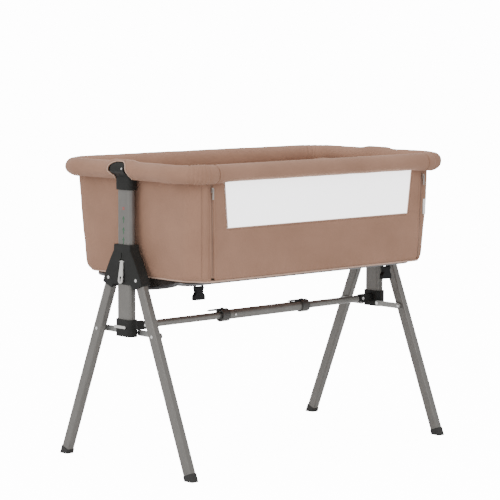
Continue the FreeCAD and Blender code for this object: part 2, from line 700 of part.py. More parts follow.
def make_crossbar():
    """The telescopic crossbar: end tubes, plugs, rivets, sleeve, clamps and button."""
    height, start = size.bar_height, size.bar_start
    bore = size.bar_radius - size.bar_wall
    keep(tube("crossbar_tube_left", size.bar_radius, bore, start - size.bar_left_end,
              x=-start, z=height, axis=X_AXIS), "crossbar_tube_left")
    keep(tube("crossbar_tube_right", size.bar_radius, bore, start - size.bar_right_end,
              x=size.bar_right_end, z=height, axis=X_AXIS), "crossbar_tube_right")

    pivot = -size.frame_half + size.bar_pivot
    half, tall = size.tongue_half, size.bar_radius
    spigot = cylinder("bar_spigot", bore - 0.1, 22.5, x=-start - 2.5, z=height, axis=X_AXIS)
    flange = cylinder("bar_flange", tall, 2.5, x=-start - 2.5, z=height, axis=X_AXIS)
    tongue = box("bar_tongue", (pivot, -half, height - tall), (-start - 2, half, height + tall))
    eye = cylinder("bar_eye", tall, 2 * half, x=pivot, y=-half, z=height, axis=Y_AXIS)
    hole = cylinder("bar_hole", size.link_rivet_radius + size.fit_gap, 40, x=pivot, y=-20, z=height,
                    axis=Y_AXIS)
    plug = cut("bar_plug", fuse("bar_plug_blank", [spigot, flange, tongue, eye]), hole)
    keep_both_as_one(plug, "crossbar_end_plugs")

    side = size.ear_width / 2
    pin = cylinder("bar_rivet_shank", size.link_rivet_radius, 2 * side, x=pivot, y=-side, z=height,
                   axis=Y_AXIS)
    heads = [cylinder(f"bar_rivet_head_{n}", size.rivet_head_radius, size.rivet_head, x=pivot,
                      y=y, z=height, axis=Y_AXIS)
             for n, y in enumerate((side, -side - size.rivet_head))]
    keep_both_as_one(fuse("bar_rivet", [pin] + heads), "crossbar_rivets")

    length = size.sleeve_left + size.sleeve_right
    sleeve = tube("sleeve_blank", size.sleeve_radius, size.sleeve_bore, length,
                  x=-size.sleeve_left, z=height, axis=X_AXIS)
    hole = cylinder("button_hole", size.button_radius + 0.15, 30, x=-size.button_place, z=height,
                    axis=-Y_AXIS)
    keep(cut("crossbar_sleeve", sleeve, hole), "crossbar_sleeve")

    button = new_body("snap_button", x=-size.button_place, y=-14.2, z=height)
    pad(button, "XZ_Plane", lambda sketch: draw_circle(sketch, 0, 0, size.button_radius),
        size.button_length, flip=True)
    round_edges(button, lies_at(Y_AXIS, as_dim(0)), 1)
    keep(button, "snap_button")

    rings = []
    for name, far_end in (("left", -size.sleeve_left - 6), ("right", size.sleeve_right - 14)):
        rings += make_clamp(name, far_end)
    keep(group("clamp_rings", rings), "clamp_rings")


def make_clamp(name, low):
    """One clamp: a notched ring with its hinge pin, and the flip lever, from x = low."""
    height, radius = size.bar_height, size.ring_radius
    pivot_x, pivot_z = low + 14, height + 14.6
    pin = size.clamp_pivot_radius
    shell = tube(f"ring_shell_{name}", radius, size.sleeve_radius + size.fit_gap, size.ring_length,
                 x=low, z=height, axis=X_AXIS)
    notch = box(f"ring_notch_{name}", (low - 1, -5.3, height + 11), (low + 22, 5.3, height + 20))
    lugs = [box(f"ring_lug_{name}_{n}", (pivot_x - 4, y, height + 12.4), (pivot_x + 4, y + 2.7, height + 17.4))
            for n, y in enumerate((-8, 5.3))]
    hole = cylinder(f"ring_hole_{name}", pin, 40, x=pivot_x, y=-20, z=pivot_z, axis=Y_AXIS)
    ring = cut(f"ring_{name}", fuse(f"ring_blank_{name}", [cut(f"ring_open_{name}", shell, notch)] + lugs),
               hole)
    axle = cylinder(f"ring_pin_{name}", pin - 0.02, 16, x=pivot_x, y=-8, z=pivot_z, axis=Y_AXIS)

    lever = new_body(f"clamp_lever_{name}_body", x=pivot_x, z=pivot_z)
    barrel = 2.1
    pad(lever, "XZ_Plane", lambda sketch: draw_outline(sketch, [
        (0, -barrel + 0.1), (0, barrel), (-40, 1.9), (-49, 0.9), (-51, -1.6), (-44, -1.3)]), 10, both=True)
    pad(lever, "XZ_Plane", lambda sketch: draw_circle(sketch, 0, 0, barrel), 10, both=True)
    pocket(lever, "XZ_Plane", lambda sketch: draw_circle(sketch, 0, 0, pin + size.fit_gap), 60, both=True)
    keep(lever, f"clamp_lever_{name}")
    return [ring, axle]


# ---------------------------------------------------------------- rail and brackets

def value(name):
    """A cell's number, for the shapes that read the sheet in code."""
    return float(SHEET.get(name))


def feature(name, shape):
    """A shape made in code as an object of the document."""
    item = DOC.addObject("Part::Feature", name)
    item.Shape = shape
    item.Placement = Placement()
    return item


def rounded_wire(length, width, corner, height):
    """A rounded rectangle of half length and half width, lying at a height."""
    a, b, r = length, width, corner
    k = r * math.sqrt(0.5)
    edges = []
    for sx, sy in ((1, -1), (1, 1), (-1, 1), (-1, -1)):
        cx, cy = sx * (a - r), sy * (b - r)
        ends = [Vector(cx, sy * b, height), Vector(sx * a, cy, height)]
        if sx * sy > 0:
            ends.reverse()
        middle = Vector(cx + sx * k, cy + sy * k, height)
        edges.append(Part.Arc(ends[0], middle, ends[1]).toShape())
    joined = []
    for i, edge in enumerate(edges):
        start = edges[i - 1].Vertexes[-1].Point
        joined.append(Part.LineSegment(start, edge.Vertexes[0].Point).toShape())
        joined.append(edge)
    return Part.Wire(joined)


def rail_path():
    """The rail's centreline from one joint round the ends and back to the other joint."""
    a, b, r = value("rail_half_length"), value("rail_half_width"), value("rail_corner")
    z, end = value("rail_height"), value("drop_end") + 1.6
    k = r * math.sqrt(0.5)

    def half(side):
        front = Vector(side * (a - r), -b, z)
        low, high = Vector(side * a, r - b, z), Vector(side * a, b - r, z)
        back = Vector(side * (a - r), b, z)
        return [
            Part.LineSegment(Vector(side * end, -b, z), front),
            Part.Arc(front, Vector(side * (a - r + k), r - b - k, z), low),
            Part.LineSegment(low, high),
            Part.Arc(high, Vector(side * (a - r + k), b - r + k, z), back),
            Part.LineSegment(back, Vector(0, b, z)),
        ]

    left = [item.toShape() for item in half(-1)]
    right = [Part.Edge(item.toShape()) for item in half(1)]
    return Part.Wire(Part.__sortEdges__(left + right))


def pipe(path, radius):
    """A round solid along a path."""
    start = path.OrderedVertexes[0].Point if hasattr(path, "OrderedVertexes") else path.Vertexes[0].Point
    first = path.OrderedEdges[0] if hasattr(path, "OrderedEdges") else path.Edges[0]
    along = first.tangentAt(first.FirstParameter)
    ring = Part.Wire(Part.makeCircle(radius, start, along))
    return path.makePipeShell([ring], True, False)


def hook_profile(extra, y):
    """The bracket head's outline round the rail, seen along Y, made larger by an amount."""
    reach = {-90: 15.5, -60: 14.2, -40: 14.4, -25: 16.2, -12: 19.6, 0: 23, 15: 24, 30: 24, 45: 24, 60: 24,
             75: 24, 90: 23.5, 105: 22, 120: 20, 135: 18.5, 150: 17.5, 180: 17, 210: 17, 240: 16.3}
    rail, z = -value("rail_half_length"), value("rail_height")
    points = []
    for turn, length in reach.items():
        angle = math.radians(turn)
        points.append(Vector(rail - (length + extra) * math.cos(angle), y,
                             z + (length + extra) * math.sin(angle)))
    curve = Part.BSplineCurve()
    curve.interpolate(points, PeriodicFlag=True)
    return Part.Wire(curve.toShape())


def hook(extra, half):
    """A solid with the bracket head's outline, between two planes either side of the post."""
    return Part.Face(hook_profile(extra, -half)).extrude(Vector(0, 2 * half, 0))


def hook_hump():
    """The swelling of the padded cover over a bracket's head, fading into the round cover."""
    rail, z = -value("rail_half_length"), value("rail_height")
    radius, thick = value("pad_radius"), value("hump_thick")
    mid, end = value("hump_half"), value("hump_end")
    round_end = radius - 0.3

    def ring(y):
        return Part.Wire(Part.makeCircle(round_end, Vector(rail, y, z), Y_AXIS))

    middle = hook(thick, mid).fuse(Part.makeCylinder(round_end, 2 * mid, Vector(rail, -mid, z), Y_AXIS))
    low_side = Part.makeBox(120, 2 * mid, 60, Vector(rail - 60, -mid, z - 60))
    tapers = []
    for side in (-1, 1):
        raised = Part.Wire(Part.makeCircle(radius + 2.6, Vector(rail, side * mid, z + 1.4), Y_AXIS))
        tapers.append(Part.makeLoft([raised, ring(side * end)], True, True))
    return middle.cut(low_side).fuse(tapers)


def bracket_notch():
    """The opening of the padded cover round a bracket: an arch that widens downwards."""
    rail, z = -value("rail_half_length"), value("rail_height")
    arch = [(12, 20.5), (17, 19), (23, 16.5), (27.5, 13), (30.5, 8.5), (33, 2), (34.5, -6), (34.5, -40)]
    sides = [(y, rise) for y, rise in arch] + [(-y, rise) for y, rise in reversed(arch)]
    corners = [Vector(rail - 60, y, z + rise) for y, rise in sides]
    return Part.Face(Part.makePolygon(corners + corners[:1])).extrude(Vector(60 - 4, 0, 0))


def make_rail():
    """The U-shaped rail with its padded cover, the joint plugs and the drop rail."""
    path = rail_path()
    radius, bore = value("rail_radius"), value("rail_radius") - value("rail_wall")
    keep(feature("rail_tube", pipe(path, radius).cut(pipe(path, bore))), "rail_tube")

    rail, z, gap = -value("rail_half_length"), value("rail_height"), value("running_gap")
    half = value("bracket_head_half") + gap
    sleeve = value("bracket_sleeve_half") + gap
    hump, notch = hook_hump(), bracket_notch()
    rooms = [
        hook(2 * gap, half),
        Part.makeCylinder(value("bracket_sleeve_radius") + gap, 2 * sleeve, Vector(rail, -sleeve, z), Y_AXIS),
        Part.makeBox(34, 58, 34, Vector(-value("frame_half") - 17, -29, z - 34)),
        notch,
    ]
    cover = pipe(path, value("pad_radius")).fuse([hump, hump.mirror(Vector(), X_AXIS)])
    cover = cover.cut(pipe(path, value("pad_bore")))
    for room in rooms:
        cover = cover.cut(room).cut(room.mirror(Vector(), X_AXIS))
    keep(feature("rail_cover", cover.removeSplitter()), "rail_cover")

    end, width, height = size.drop_end, size.rail_half_width, size.rail_height
    bore = size.rail_radius - size.rail_wall
    keep(tube("drop_rail_tube", size.rail_radius, bore, 2 * end, x=-end, y=-width, z=height,
              axis=X_AXIS), "drop_rail_tube")
    keep(tube("drop_rail_cover", size.pad_radius, size.pad_bore, 2 * (end + 1), x=-end - 1, y=-width,
              z=height, axis=X_AXIS), "drop_rail_cover")
    flange = cylinder("lock_flange", size.rail_radius, 1.1, x=end + 0.5, y=-width, z=height, axis=X_AXIS)
    spigot = cylinder("lock_spigot", bore - 0.2, 6, x=end + 0.5, y=-width, z=height, axis=X_AXIS)
    keep_both_as_one(fuse("rail_lock", [flange, spigot]), "rail_locks")


def make_brackets():
    """The hooked elbows that carry the rail on the posts, and their rivets."""
    post, rail = -value("frame_half"), -value("rail_half_length")
    low, step, z = value("bracket_bottom"), value("bracket_step"), value("rail_height")
    head, sleeve = value("bracket_head_half"), value("bracket_sleeve_half")

    def section(width, corner, height):
        wire = rounded_wire(27 / 2, width / 2, corner, height)
        wire.translate(Vector(post, 0, 0))
        return wire

    socket = Part.makeLoft([section(55.5, 11, low), section(55.5, 11, step)], True, True)
    neck = Part.makeLoft([section(55.5, 11, step), section(50, 9, step + 7), section(2 * head, 7, z - 8)],
                         True, True)
    arms = Part.makeCylinder(value("bracket_sleeve_radius"), 2 * sleeve, Vector(rail, -sleeve, z), Y_AXIS)
    solid = socket.fuse([neck, hook(0, head), arms]).removeSplitter()
    bore = Part.makeCylinder(value("rail_radius") + value("fit_gap"), 200, Vector(rail, -100, z), Y_AXIS)
    slack = 0.2
    post_room = Part.Face(rounded_wire(value("upper_depth") / 2 + slack / 2, value("upper_width") / 2
                                       + slack / 2, value("upper_depth") / 2 - 0.1, low - 1))
    post_room.translate(Vector(post, 0, 0))
    post_room = post_room.extrude(Vector(0, 0, value("upper_top") - low + 1))
    place = value("bracket_rivet_place")
    tilt = math.radians(16)
    out = Vector(-math.cos(tilt), 0, math.sin(tilt))
    axis = Vector(rail, -place, z)
    tube_outside = value("rail_radius") + 0.6
    hole = Part.makeCylinder(1.45, 40, axis + out * tube_outside, out)
    bracket = feature("rail_bracket", solid.cut(bore).cut(post_room).cut(hole))
    keep_pair(bracket, "rail_bracket")

    shank = Part.makeCylinder(1.4, 24.1 - tube_outside, axis + out * tube_outside, out)
    button = Part.makeCylinder(2.6, 1, axis + out * 24.1, out)
    keep_both_as_one(feature("bracket_rivet", shank.fuse(button).removeSplitter()), "bracket_rivets")


# ---------------------------------------------------------------- basket and drop side

def basket_section(height, inset=0.0):
    """The basket's outline at a height, drawn in by the inset."""
    low, top = value("basket_bottom"), value("basket_top")
    part = (height - low) / (top - low)

    def between(name):
        return value(f"basket_bottom_{name}") * (1 - part) + value(f"basket_top_{name}") * part

    length, width, corner = between("length"), between("width"), between("corner")
    return rounded_wire(length - inset, width - inset, max(corner - inset, 5), height)


def make_basket():
    """The fabric basket: walls with rolled lower edges, a floor and the opening in front."""
    low, rise, wall = value("basket_bottom"), value("wall_rise"), value("basket_wall")
    floor = value("floor_thick")
    outside = Part.makeLoft([
        basket_section(low, 9), basket_section(low + 3, 3.2), basket_section(low + 10),
        basket_section(rise)], True, True)
    inside = Part.makeLoft([
        basket_section(low + floor, wall + 8), basket_section(low + floor + 4, wall + 2.5),
        basket_section(low + floor + 10, wall), basket_section(rise + 1, wall)], True, True)
    basket = outside.cut(inside)
    basket = basket.cut(pipe(rail_path(), value("pad_radius") + value("running_gap")))
    gap = value("seam_gap")
    bottom, tall = value("panel_bottom"), value("panel_tall")
    low_half, top_half = value("panel_bottom_half") + gap, value("panel_top_half") + gap
    bottom -= value("running_gap")
    above = 20
    top_half += (top_half - low_half) * above / tall
    corners = [Vector(-low_half, -300, bottom), Vector(low_half, -300, bottom),
               Vector(top_half, -300, bottom + tall + above),
               Vector(-top_half, -300, bottom + tall + above)]
    opening = Part.Face(Part.makePolygon(corners + corners[:1])).extrude(Vector(0, 110, 0))
    basket = basket.cut(opening).removeSplitter()
    keep(feature("basket_cover", basket), "basket_cover")


def side_slope():
    """The angle that the front wall leans out by, from its lower to its upper edge."""
    rise = value("basket_top") - value("basket_bottom")
    return math.degrees(math.atan((value("basket_top_width") - value("basket_bottom_width")) / rise))


def side_body(name):
    """A body whose origin is the panel's lower outer edge, leaning as the front wall does."""
    return new_body(name, y=-size.basket_bottom_width, z=size.panel_bottom,
                    axis=X_AXIS, angle=side_slope())


def make_drop_side():
    """The padded panel round the window, the mesh, and the zips with their sliders."""
    tall, sill = size.panel_tall, size.window_sill
    low_half, top_half = size.panel_bottom_half, size.panel_top_half
    window_low, window_top = size.window_bottom_half, size.window_top_half
    panel = side_body("drop_panel")
    pad(panel, "XZ_Plane", lambda sketch: draw_outline(sketch, [
        (-low_half, 0), (low_half, 0), (top_half, tall), (window_top, tall), (window_low, sill),
        (-window_low, sill), (-window_top, tall), (-top_half, tall)]), size.basket_wall, flip=True)
    keep(panel, "drop_panel")

    mesh = side_body("mesh_window")
    edge = 0.1
    pad(mesh, "XZ_Plane", lambda sketch: draw_outline(sketch, [
        (edge - window_low, sill + edge), (window_low - edge, sill + edge),
        (window_top - edge, tall), (edge - window_top, tall)]), 1.6, offset=-1.5, flip=True)
    keep(mesh, "mesh_window")

    gap, clear = size.seam_gap, size.running_gap
    tape = side_body("zip_tape")
    pad(tape, "XZ_Plane", lambda sketch: draw_outline(sketch, [
        (-low_half - gap + clear, 6), (-low_half - clear, 6),
        (-top_half - clear, tall - 4), (-top_half - gap + clear, tall - 4)]), 2, offset=0.6, flip=True)
    keep_both_as_one(tape, "zip_tapes")

    top = tall - 8
    middle = top_half + 3.5
    slider = side_body("zip_slider_block")
    pad(slider, "XZ_Plane", lambda sketch: draw_outline(sketch, [
        (-middle - 3.2, top - 11), (3.2 - middle, top - 11), (2.4 - middle, top), (-middle - 2.4, top)]),
        3.2, offset=1.0)
    pad(slider, "XZ_Plane", lambda sketch: draw_outline(sketch, [
        (-middle - 1.2, top - 8), (1.2 - middle, top - 8), (1.2 - middle, top - 3), (-middle - 1.2, top - 3)]),
        2.4, offset=4.2)
    tab = side_body("zip_pull")
    pad(tab, "XZ_Plane", lambda sketch: draw_outline(sketch, [
        (-middle - 2.4, top - 27), (2.4 - middle, top - 27), (1.9 - middle, top - 8.3),
        (-middle - 1.9, top - 8.3)]), 1.2, offset=4.6)
    keep_pair(group("zip_slider", [slider, tab]), "zip_slider")


def make_base():
    """The base board, the mattress, and the tube frame under the base."""
    low, thick = value("board_bottom"), value("board_thick")
    board = Part.Face(rounded_wire(value("board_length"), value("board_width"), 42, low))
    keep(feature("base_board", board.extrude(Vector(0, 0, thick))), "base_board")

    length, width, corner = value("mattress_length"), value("mattress_width"), value("mattress_corner")
    low, thick = value("mattress_bottom"), value("mattress_thick")
    profile = ((0, 9), (0.1, 2), (0.3, 0), (0.62, 0), (0.82, 4), (0.93, 14), (0.98, 40), (1, 85))
    layers = [rounded_wire(length - inset, width - inset, corner - min(inset, 30), low + part * thick)
              for part, inset in profile]
    keep(feature("mattress", Part.makeLoft(layers, True, True)), "mattress")

    path = base_tube_path()
    ring = pipe(path, value("base_tube_radius")).cut(pipe(path, value("base_tube_bore")))
    keep(feature("bottom_frame", ring), "bottom_frame")


def base_tube_path():
    """The closed centreline of the base tube, whose end bars bow down as runners."""
    flat = rounded_wire(value("base_tube_length"), value("base_tube_width"),
                        value("base_tube_corner"), value("base_tube_height"))
    reach = value("base_tube_length")
    sag = value("base_tube_sag")
    edges = []
    for edge in flat.Edges:
        start, end = edge.Vertexes[0].Point, edge.Vertexes[-1].Point
        if abs(abs(start.x) - reach) < 0.01 and abs(abs(end.x) - reach) < 0.01:
            run = end - start
            half = [(0, 0), (0.04, 0.08), (0.12, 0.37), (0.245, 0.66), (0.38, 0.89), (0.5, 1)]
            bow = half + [(1 - part, share) for part, share in reversed(half[:-1])]
            points = [start + run * part - Z_AXIS * sag * share for part, share in bow]
            curve = Part.BSplineCurve()
            curve.interpolate(Points=points, InitialTangent=run, FinalTangent=run)
            edge = curve.toShape()
        edges.append(edge)
    return Part.Wire(edges)


def make_buckles():
    """The receiver halves of two side-release buckles on short straps under the base."""
    buckle = new_body("buckle", x=-size.buckle_place, y=-size.buckle_front, z=size.buckle_pivot)
    bar, half, tall = size.buckle_bar_radius, size.buckle_half, size.buckle_tall
    pad(buckle, "YZ_Plane", lambda sketch: draw_circle(sketch, 0, 0, bar), 28, both=True)
    arms = 9.5
    pad(buckle, "XZ_Plane", lambda sketch: draw_outline(sketch, [
        (-14, 0), (-arms, 0), (-arms, -6.2), (arms, -6.2), (arms, 0), (14, 0), (14, -8), (10.5, -14),
        (10.5, -21), (half, -29), (half, -tall), (-half, -tall), (-half, -29), (-10.5, -21),
        (-10.5, -14), (-14, -8)]), 4, both=True)
    pad(buckle, "XZ_Plane", lambda sketch: draw_outline(sketch, [
        (14, -8), (10.5, -14), (10.5, -21), (half, -29), (half, -tall), (-half, -tall), (-half, -29),
        (-10.5, -21), (-10.5, -14), (-14, -8)]), size.buckle_thick, both=True)
    pocket(buckle, "XY_Plane", lambda sketch: draw_rounded(sketch, 2 * half - 6, 6, 1), 16,
           offset=-tall, flip=True)
    pocket(buckle, "XY_Plane", lambda sketch: draw_rounded(sketch, 16, 6, 1), 26, offset=-tall, flip=True)
    keep_pair(buckle, "buckle")

    strap_half = 12.5
    low = size.buckle_pivot + bar + 0.4
    strap = box("strap", (-size.buckle_place - strap_half, -size.buckle_front - 1.5, low),
                (-size.buckle_place + strap_half, -size.buckle_front + 1.5, size.basket_bottom - 0.05))
    keep_both_as_one(strap, "buckle_straps")


# ---------------------------------------------------------------- build, check and write

def check(item):
    """Stop on anything that failed, is empty or isn't sound."""
    if {"Invalid", "Error"} & set(item.State):
        raise RuntimeError(f"{item.Label}: {item.State}")


def main():
    make_posts()
    make_legs_and_feet()
    make_links()
    make_hubs()
    make_height_lever()
    make_collars()
    make_crossbar()
    make_rail()
    make_brackets()
    make_basket()
    make_drop_side()
    make_base()
    make_buckles()
    DOC.recompute()
    for item in DOC.Objects:
        check(item)
    for item in PARTS:
        shape = item.Shape
        if shape.isNull() or not shape.isValid() or not shape.Solids:
            raise RuntimeError(f"{item.Label} has no sound shape")
    os.makedirs("parts", exist_ok=True)
    for item in PARTS:
        item.Shape.exportStep(f"parts/{item.Label}.step")
        print(f"{item.Label:24s} {len(item.Shape.Solids)} solids {item.Shape.Volume / 1000:9.2f} cm3")
    print(len(PARTS), "sub-parts")


main()
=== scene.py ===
"""The bedside sleeper crib: its cloth, padding, trim and finishes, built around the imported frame."""

import json
import logging
import math
from collections.abc import Callable, Iterable, Sequence
from dataclasses import dataclass
from enum import Enum

import bpy
from mathutils import Matrix, Vector, noise


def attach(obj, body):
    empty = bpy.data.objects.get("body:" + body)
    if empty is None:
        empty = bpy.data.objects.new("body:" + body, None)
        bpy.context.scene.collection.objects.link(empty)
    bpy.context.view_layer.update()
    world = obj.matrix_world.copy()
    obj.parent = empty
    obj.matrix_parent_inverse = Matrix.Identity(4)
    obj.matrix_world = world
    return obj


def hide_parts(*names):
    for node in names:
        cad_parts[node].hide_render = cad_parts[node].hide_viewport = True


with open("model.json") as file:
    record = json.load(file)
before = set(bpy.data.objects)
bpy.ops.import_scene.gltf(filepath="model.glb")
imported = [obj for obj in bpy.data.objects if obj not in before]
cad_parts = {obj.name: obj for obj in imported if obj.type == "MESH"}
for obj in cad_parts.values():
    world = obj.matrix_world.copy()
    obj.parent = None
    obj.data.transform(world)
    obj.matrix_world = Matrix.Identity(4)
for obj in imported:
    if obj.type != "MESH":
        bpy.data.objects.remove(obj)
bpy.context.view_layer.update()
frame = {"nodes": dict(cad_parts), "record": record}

Piece = bpy.types.Object
Material = bpy.types.Material
Colour = tuple[float, float, float]
Spot = tuple[Vector, Vector]
Place = Callable[[float, float], Vector]
Field = Callable[[float, float], float]

log = logging.getLogger("crib")


# ------------------------------------------------------------------ selection and mesh work

def deselect() -> None:
    """Leave edit mode and leave nothing selected."""
    if bpy.context.object and bpy.context.object.mode != "OBJECT":
        bpy.ops.object.mode_set(mode="OBJECT")
    bpy.ops.object.select_all(action="DESELECT")


def focus(*pieces: Piece) -> None:
    """Select only these pieces and make the first one active."""
    deselect()
    for piece in pieces:
        piece.select_set(True)
    bpy.context.view_layer.objects.active = pieces[0]


def in_edit_mode(piece: Piece, *steps: Callable[[], object]) -> None:
    """Run edit-mode operators on a whole piece.

    Args:
        piece: The mesh to work on.
        steps: Calls of bpy.ops.mesh operators, in order.
    """
    focus(piece)
    bpy.ops.object.mode_set(mode="EDIT")
    bpy.ops.mesh.select_all(action="SELECT")
    for step in steps:
        step()
    bpy.ops.object.mode_set(mode="OBJECT")


def weld(piece: Piece, distance: float = 0.00002) -> None:
    """Merge doubled points and turn all faces outwards."""
    in_edit_mode(
        piece,
        lambda: bpy.ops.mesh.remove_doubles(threshold=distance),
        lambda: bpy.ops.mesh.normals_make_consistent(inside=False),
    )


def settle(piece: Piece) -> Piece:
    """Bring a piece's place into its mesh, so that its object sits at the origin."""
    focus(piece)
    bpy.ops.object.transform_apply(location=True, rotation=True, scale=True)
    return piece


def join(name: str, pieces: Sequence[Piece]) -> Piece:
    """Join pieces into one with a name."""
    focus(*pieces)
    if len(pieces) > 1:
        bpy.ops.object.join()
    piece = bpy.context.object
    piece.name = name
    piece.data.name = name
    return piece


def smooth(piece: Piece, angle: float = 180.0) -> None:
    """Shade a piece smooth, with creases over an angle in degrees."""
    focus(piece)
    if angle >= 180:
        bpy.ops.object.shade_smooth()
    else:
        bpy.ops.object.shade_smooth_by_angle(angle=math.radians(angle))


def apply_modifier(piece: Piece, kind: str, **settings: object) -> None:
    """Add a modifier with its settings and apply it."""
    focus(piece)
    modifier = piece.modifiers.new(kind.title(), kind)
    for key, value in settings.items():
        setattr(modifier, key, value)
    bpy.ops.object.modifier_apply(modifier=modifier.name)


def dress(piece: Piece, material: Material) -> None:
    """Give a whole piece one material."""
    piece.data.materials.clear()
    piece.data.materials.append(material)


def finish(piece: Piece, material: Material, slot: str, body: str, stands_for: str = "") -> Piece:
    """Give a piece its material, hide the frame's node that it replaces and attach it to its body.

    Args:
        piece: The finished mesh.
        material: Its material.
        slot: The record's material slot that it counts under; not used.
        body: The body that it rides on.
        stands_for: The frame's node that it replaces, if any.

    Returns:
        The piece.
    """
    dress(piece, material)
    if stands_for:
        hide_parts(stands_for)
    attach(piece, body)
    return piece


def flat_grid(name: str, columns: int, rows: int, size: tuple[float, float],
              keep: Callable[[float, float], bool] | None = None) -> Piece:
    """A unit grid whose UV map is measured in metres of cloth.

    Args:
        name: The piece's name.
        columns: Faces along u.
        rows: Faces along v.
        size: The cloth's length along u and along v.
        keep: Says which faces stay, by the u and v of their middle.

    Returns:
        The grid, one unit square about the origin.
    """
    deselect()
    bpy.ops.mesh.primitive_grid_add(x_subdivisions=columns, y_subdivisions=rows, size=1.0, calc_uvs=True)
    piece = bpy.context.object
    piece.name = name
    mesh = piece.data
    mesh.name = name
    mesh.uv_layers[0].name = "cloth"
    for loop in mesh.uv_layers[0].data:
        loop.uv = (loop.uv[0] * size[0], loop.uv[1] * size[1])
    if keep:
        bpy.ops.object.mode_set(mode="EDIT")
        bpy.ops.mesh.select_all(action="DESELECT")
        bpy.ops.object.mode_set(mode="OBJECT")
        for face in mesh.polygons:
            face.select = not keep(face.center.x + 0.5, face.center.y + 0.5)
        bpy.ops.object.mode_set(mode="EDIT")
        bpy.ops.mesh.delete(type="FACE")
        bpy.ops.object.mode_set(mode="OBJECT")
    return piece


def thin_sheet(name: str, columns: int, rows: int, size: tuple[float, float], place: Place,
               thickness: float, offset: float = 0.0) -> Piece:
    """A thin cloth whose points are placed by a function.

    Args:
        name: The sheet's name.
        columns: Faces along u.
        rows: Faces along v.
        size: The cloth's length along u and along v.
        place: The sheet's point for u and v.
        thickness: The cloth's thickness.
        offset: Which side of the surface the thickness lies on, from -1 to 1.

    Returns:
        The sheet as a closed mesh.
    """
    sheet = flat_grid(name, columns, rows, size)
    for vertex in sheet.data.vertices:
        vertex.co = place(*(min(1.0, max(0.0, part + 0.5)) for part in vertex.co[:2]))
    apply_modifier(sheet, "SOLIDIFY", thickness=thickness, offset=offset)
    weld(sheet)
    smooth(sheet, 50)
    return sheet


def outward(place: Place, u: float, v: float, step: float = 0.0004) -> Vector:
    """The outward normal of a surface at a point of its grid."""
    low_u, high_u = max(0.0, u - step), min(1.0, u + step)
    low_v, high_v = max(0.0, v - 4 * step), min(1.0, v + 4 * step)
    along = place(high_u, v) - place(low_u, v)
    up = place(u, high_v) - place(u, low_v)
    return along.cross(up).normalized()


def padded_sheet(name: str, columns: int, rows: int, place: Place, depth: float, size: tuple[float, float],
                 edge: Field, relief: Field | None = None,
                 keep: Callable[[float, float], bool] | None = None) -> Piece:
    """A closed pad whose outer face lies on a surface and whose edges are rounded.

    Args:
        name: The piece's name.
        columns: Faces along u.
        rows: Faces along v.
        place: The outer face's point for u and v.
        depth: The pad's thickness.
        size: The cloth's length along u and along v.
        edge: How full the pad is, from 0 at its edges to 1.
        relief: How far the outer face stands out, in metres.
        keep: Says which faces stay.

    Returns:
        The pad as a closed mesh.
    """
    faces = []
    spots = []
    for side in (0, 1):
        sheet = flat_grid(f"{name}_{side}", columns, rows, size, keep)
        if side == 0:
            for vertex in sheet.data.vertices:
                u = min(max(vertex.co.x + 0.5, 0.0), 1.0)
                v = min(max(vertex.co.y + 0.5, 0.0), 1.0)
                full = edge(u, v)
                lift = relief(u, v) * full if relief else 0.0
                spots.append((place(u, v), outward(place, u, v), full, lift))
        for vertex, (point, out, full, lift) in zip(sheet.data.vertices, spots):
            sunk = depth / 2 * (full - 1) + lift if side == 0 else -depth / 2 * (full + 1)
            vertex.co = point + out * sunk
        faces.append(sheet)
    pad = join(name, faces)
    weld(pad)
    smooth(pad)
    return pad


def tube_along(name: str, points: Sequence[Vector], radius: float, closed: bool = False,
               sides: int = 8) -> Piece:
    """A smooth round tube through points, as a mesh with its length along the UV map's u."""
    deselect()
    curve = bpy.data.curves.new(name, "CURVE")
    curve.dimensions = "3D"
    curve.bevel_depth = radius
    curve.bevel_resolution = max(0, sides // 2 - 2)
    curve.use_fill_caps = not closed
    spline = curve.splines.new("POLY")
    spline.points.add(len(points) - 1)
    for node, point in zip(spline.points, points):
        node.co = (*point, 1.0)
    spline.use_cyclic_u = closed
    piece = bpy.data.objects.new(name, curve)
    bpy.context.scene.collection.objects.link(piece)
    focus(piece)
    bpy.ops.object.convert(target="MESH")
    piece = bpy.context.object
    smooth(piece, 60)
    return piece


def hill(distance: float, width: float) -> float:
    """A smooth bump of height 1 at distance 0, with the given width."""
    return math.exp(-((distance / width) ** 2))


def rounding(distance: float, width: float) -> float:
    """The fullness of a rounded edge: 0 on the edge, 1 from the width inwards."""
    part = min(1.0, max(0.0, distance / width))
    return math.sqrt(1.0 - (1.0 - part) ** 2)


def ease(value: float, low: float, high: float) -> float:
    """A smooth step from 0 at low to 1 at high."""
    part = min(1.0, max(0.0, (value - low) / (high - low)))
    return part * part * (3.0 - 2.0 * part)


def creases(point: Vector, length: float) -> float:
    """Soft irregular folds of a wavelength, from -1 to 1."""
    return noise.noise(point / length)


def reading(table: Sequence[tuple[float, float]], at: float) -> float:
    """A value read from a table of places and values, straight between its rows."""
    if at <= table[0][0]:
        return table[0][1]
    for (low, first), (high, last) in zip(table, table[1:]):
        if at <= high:
            return first + (last - first) * (at - low) / (high - low)
    return table[-1][1]


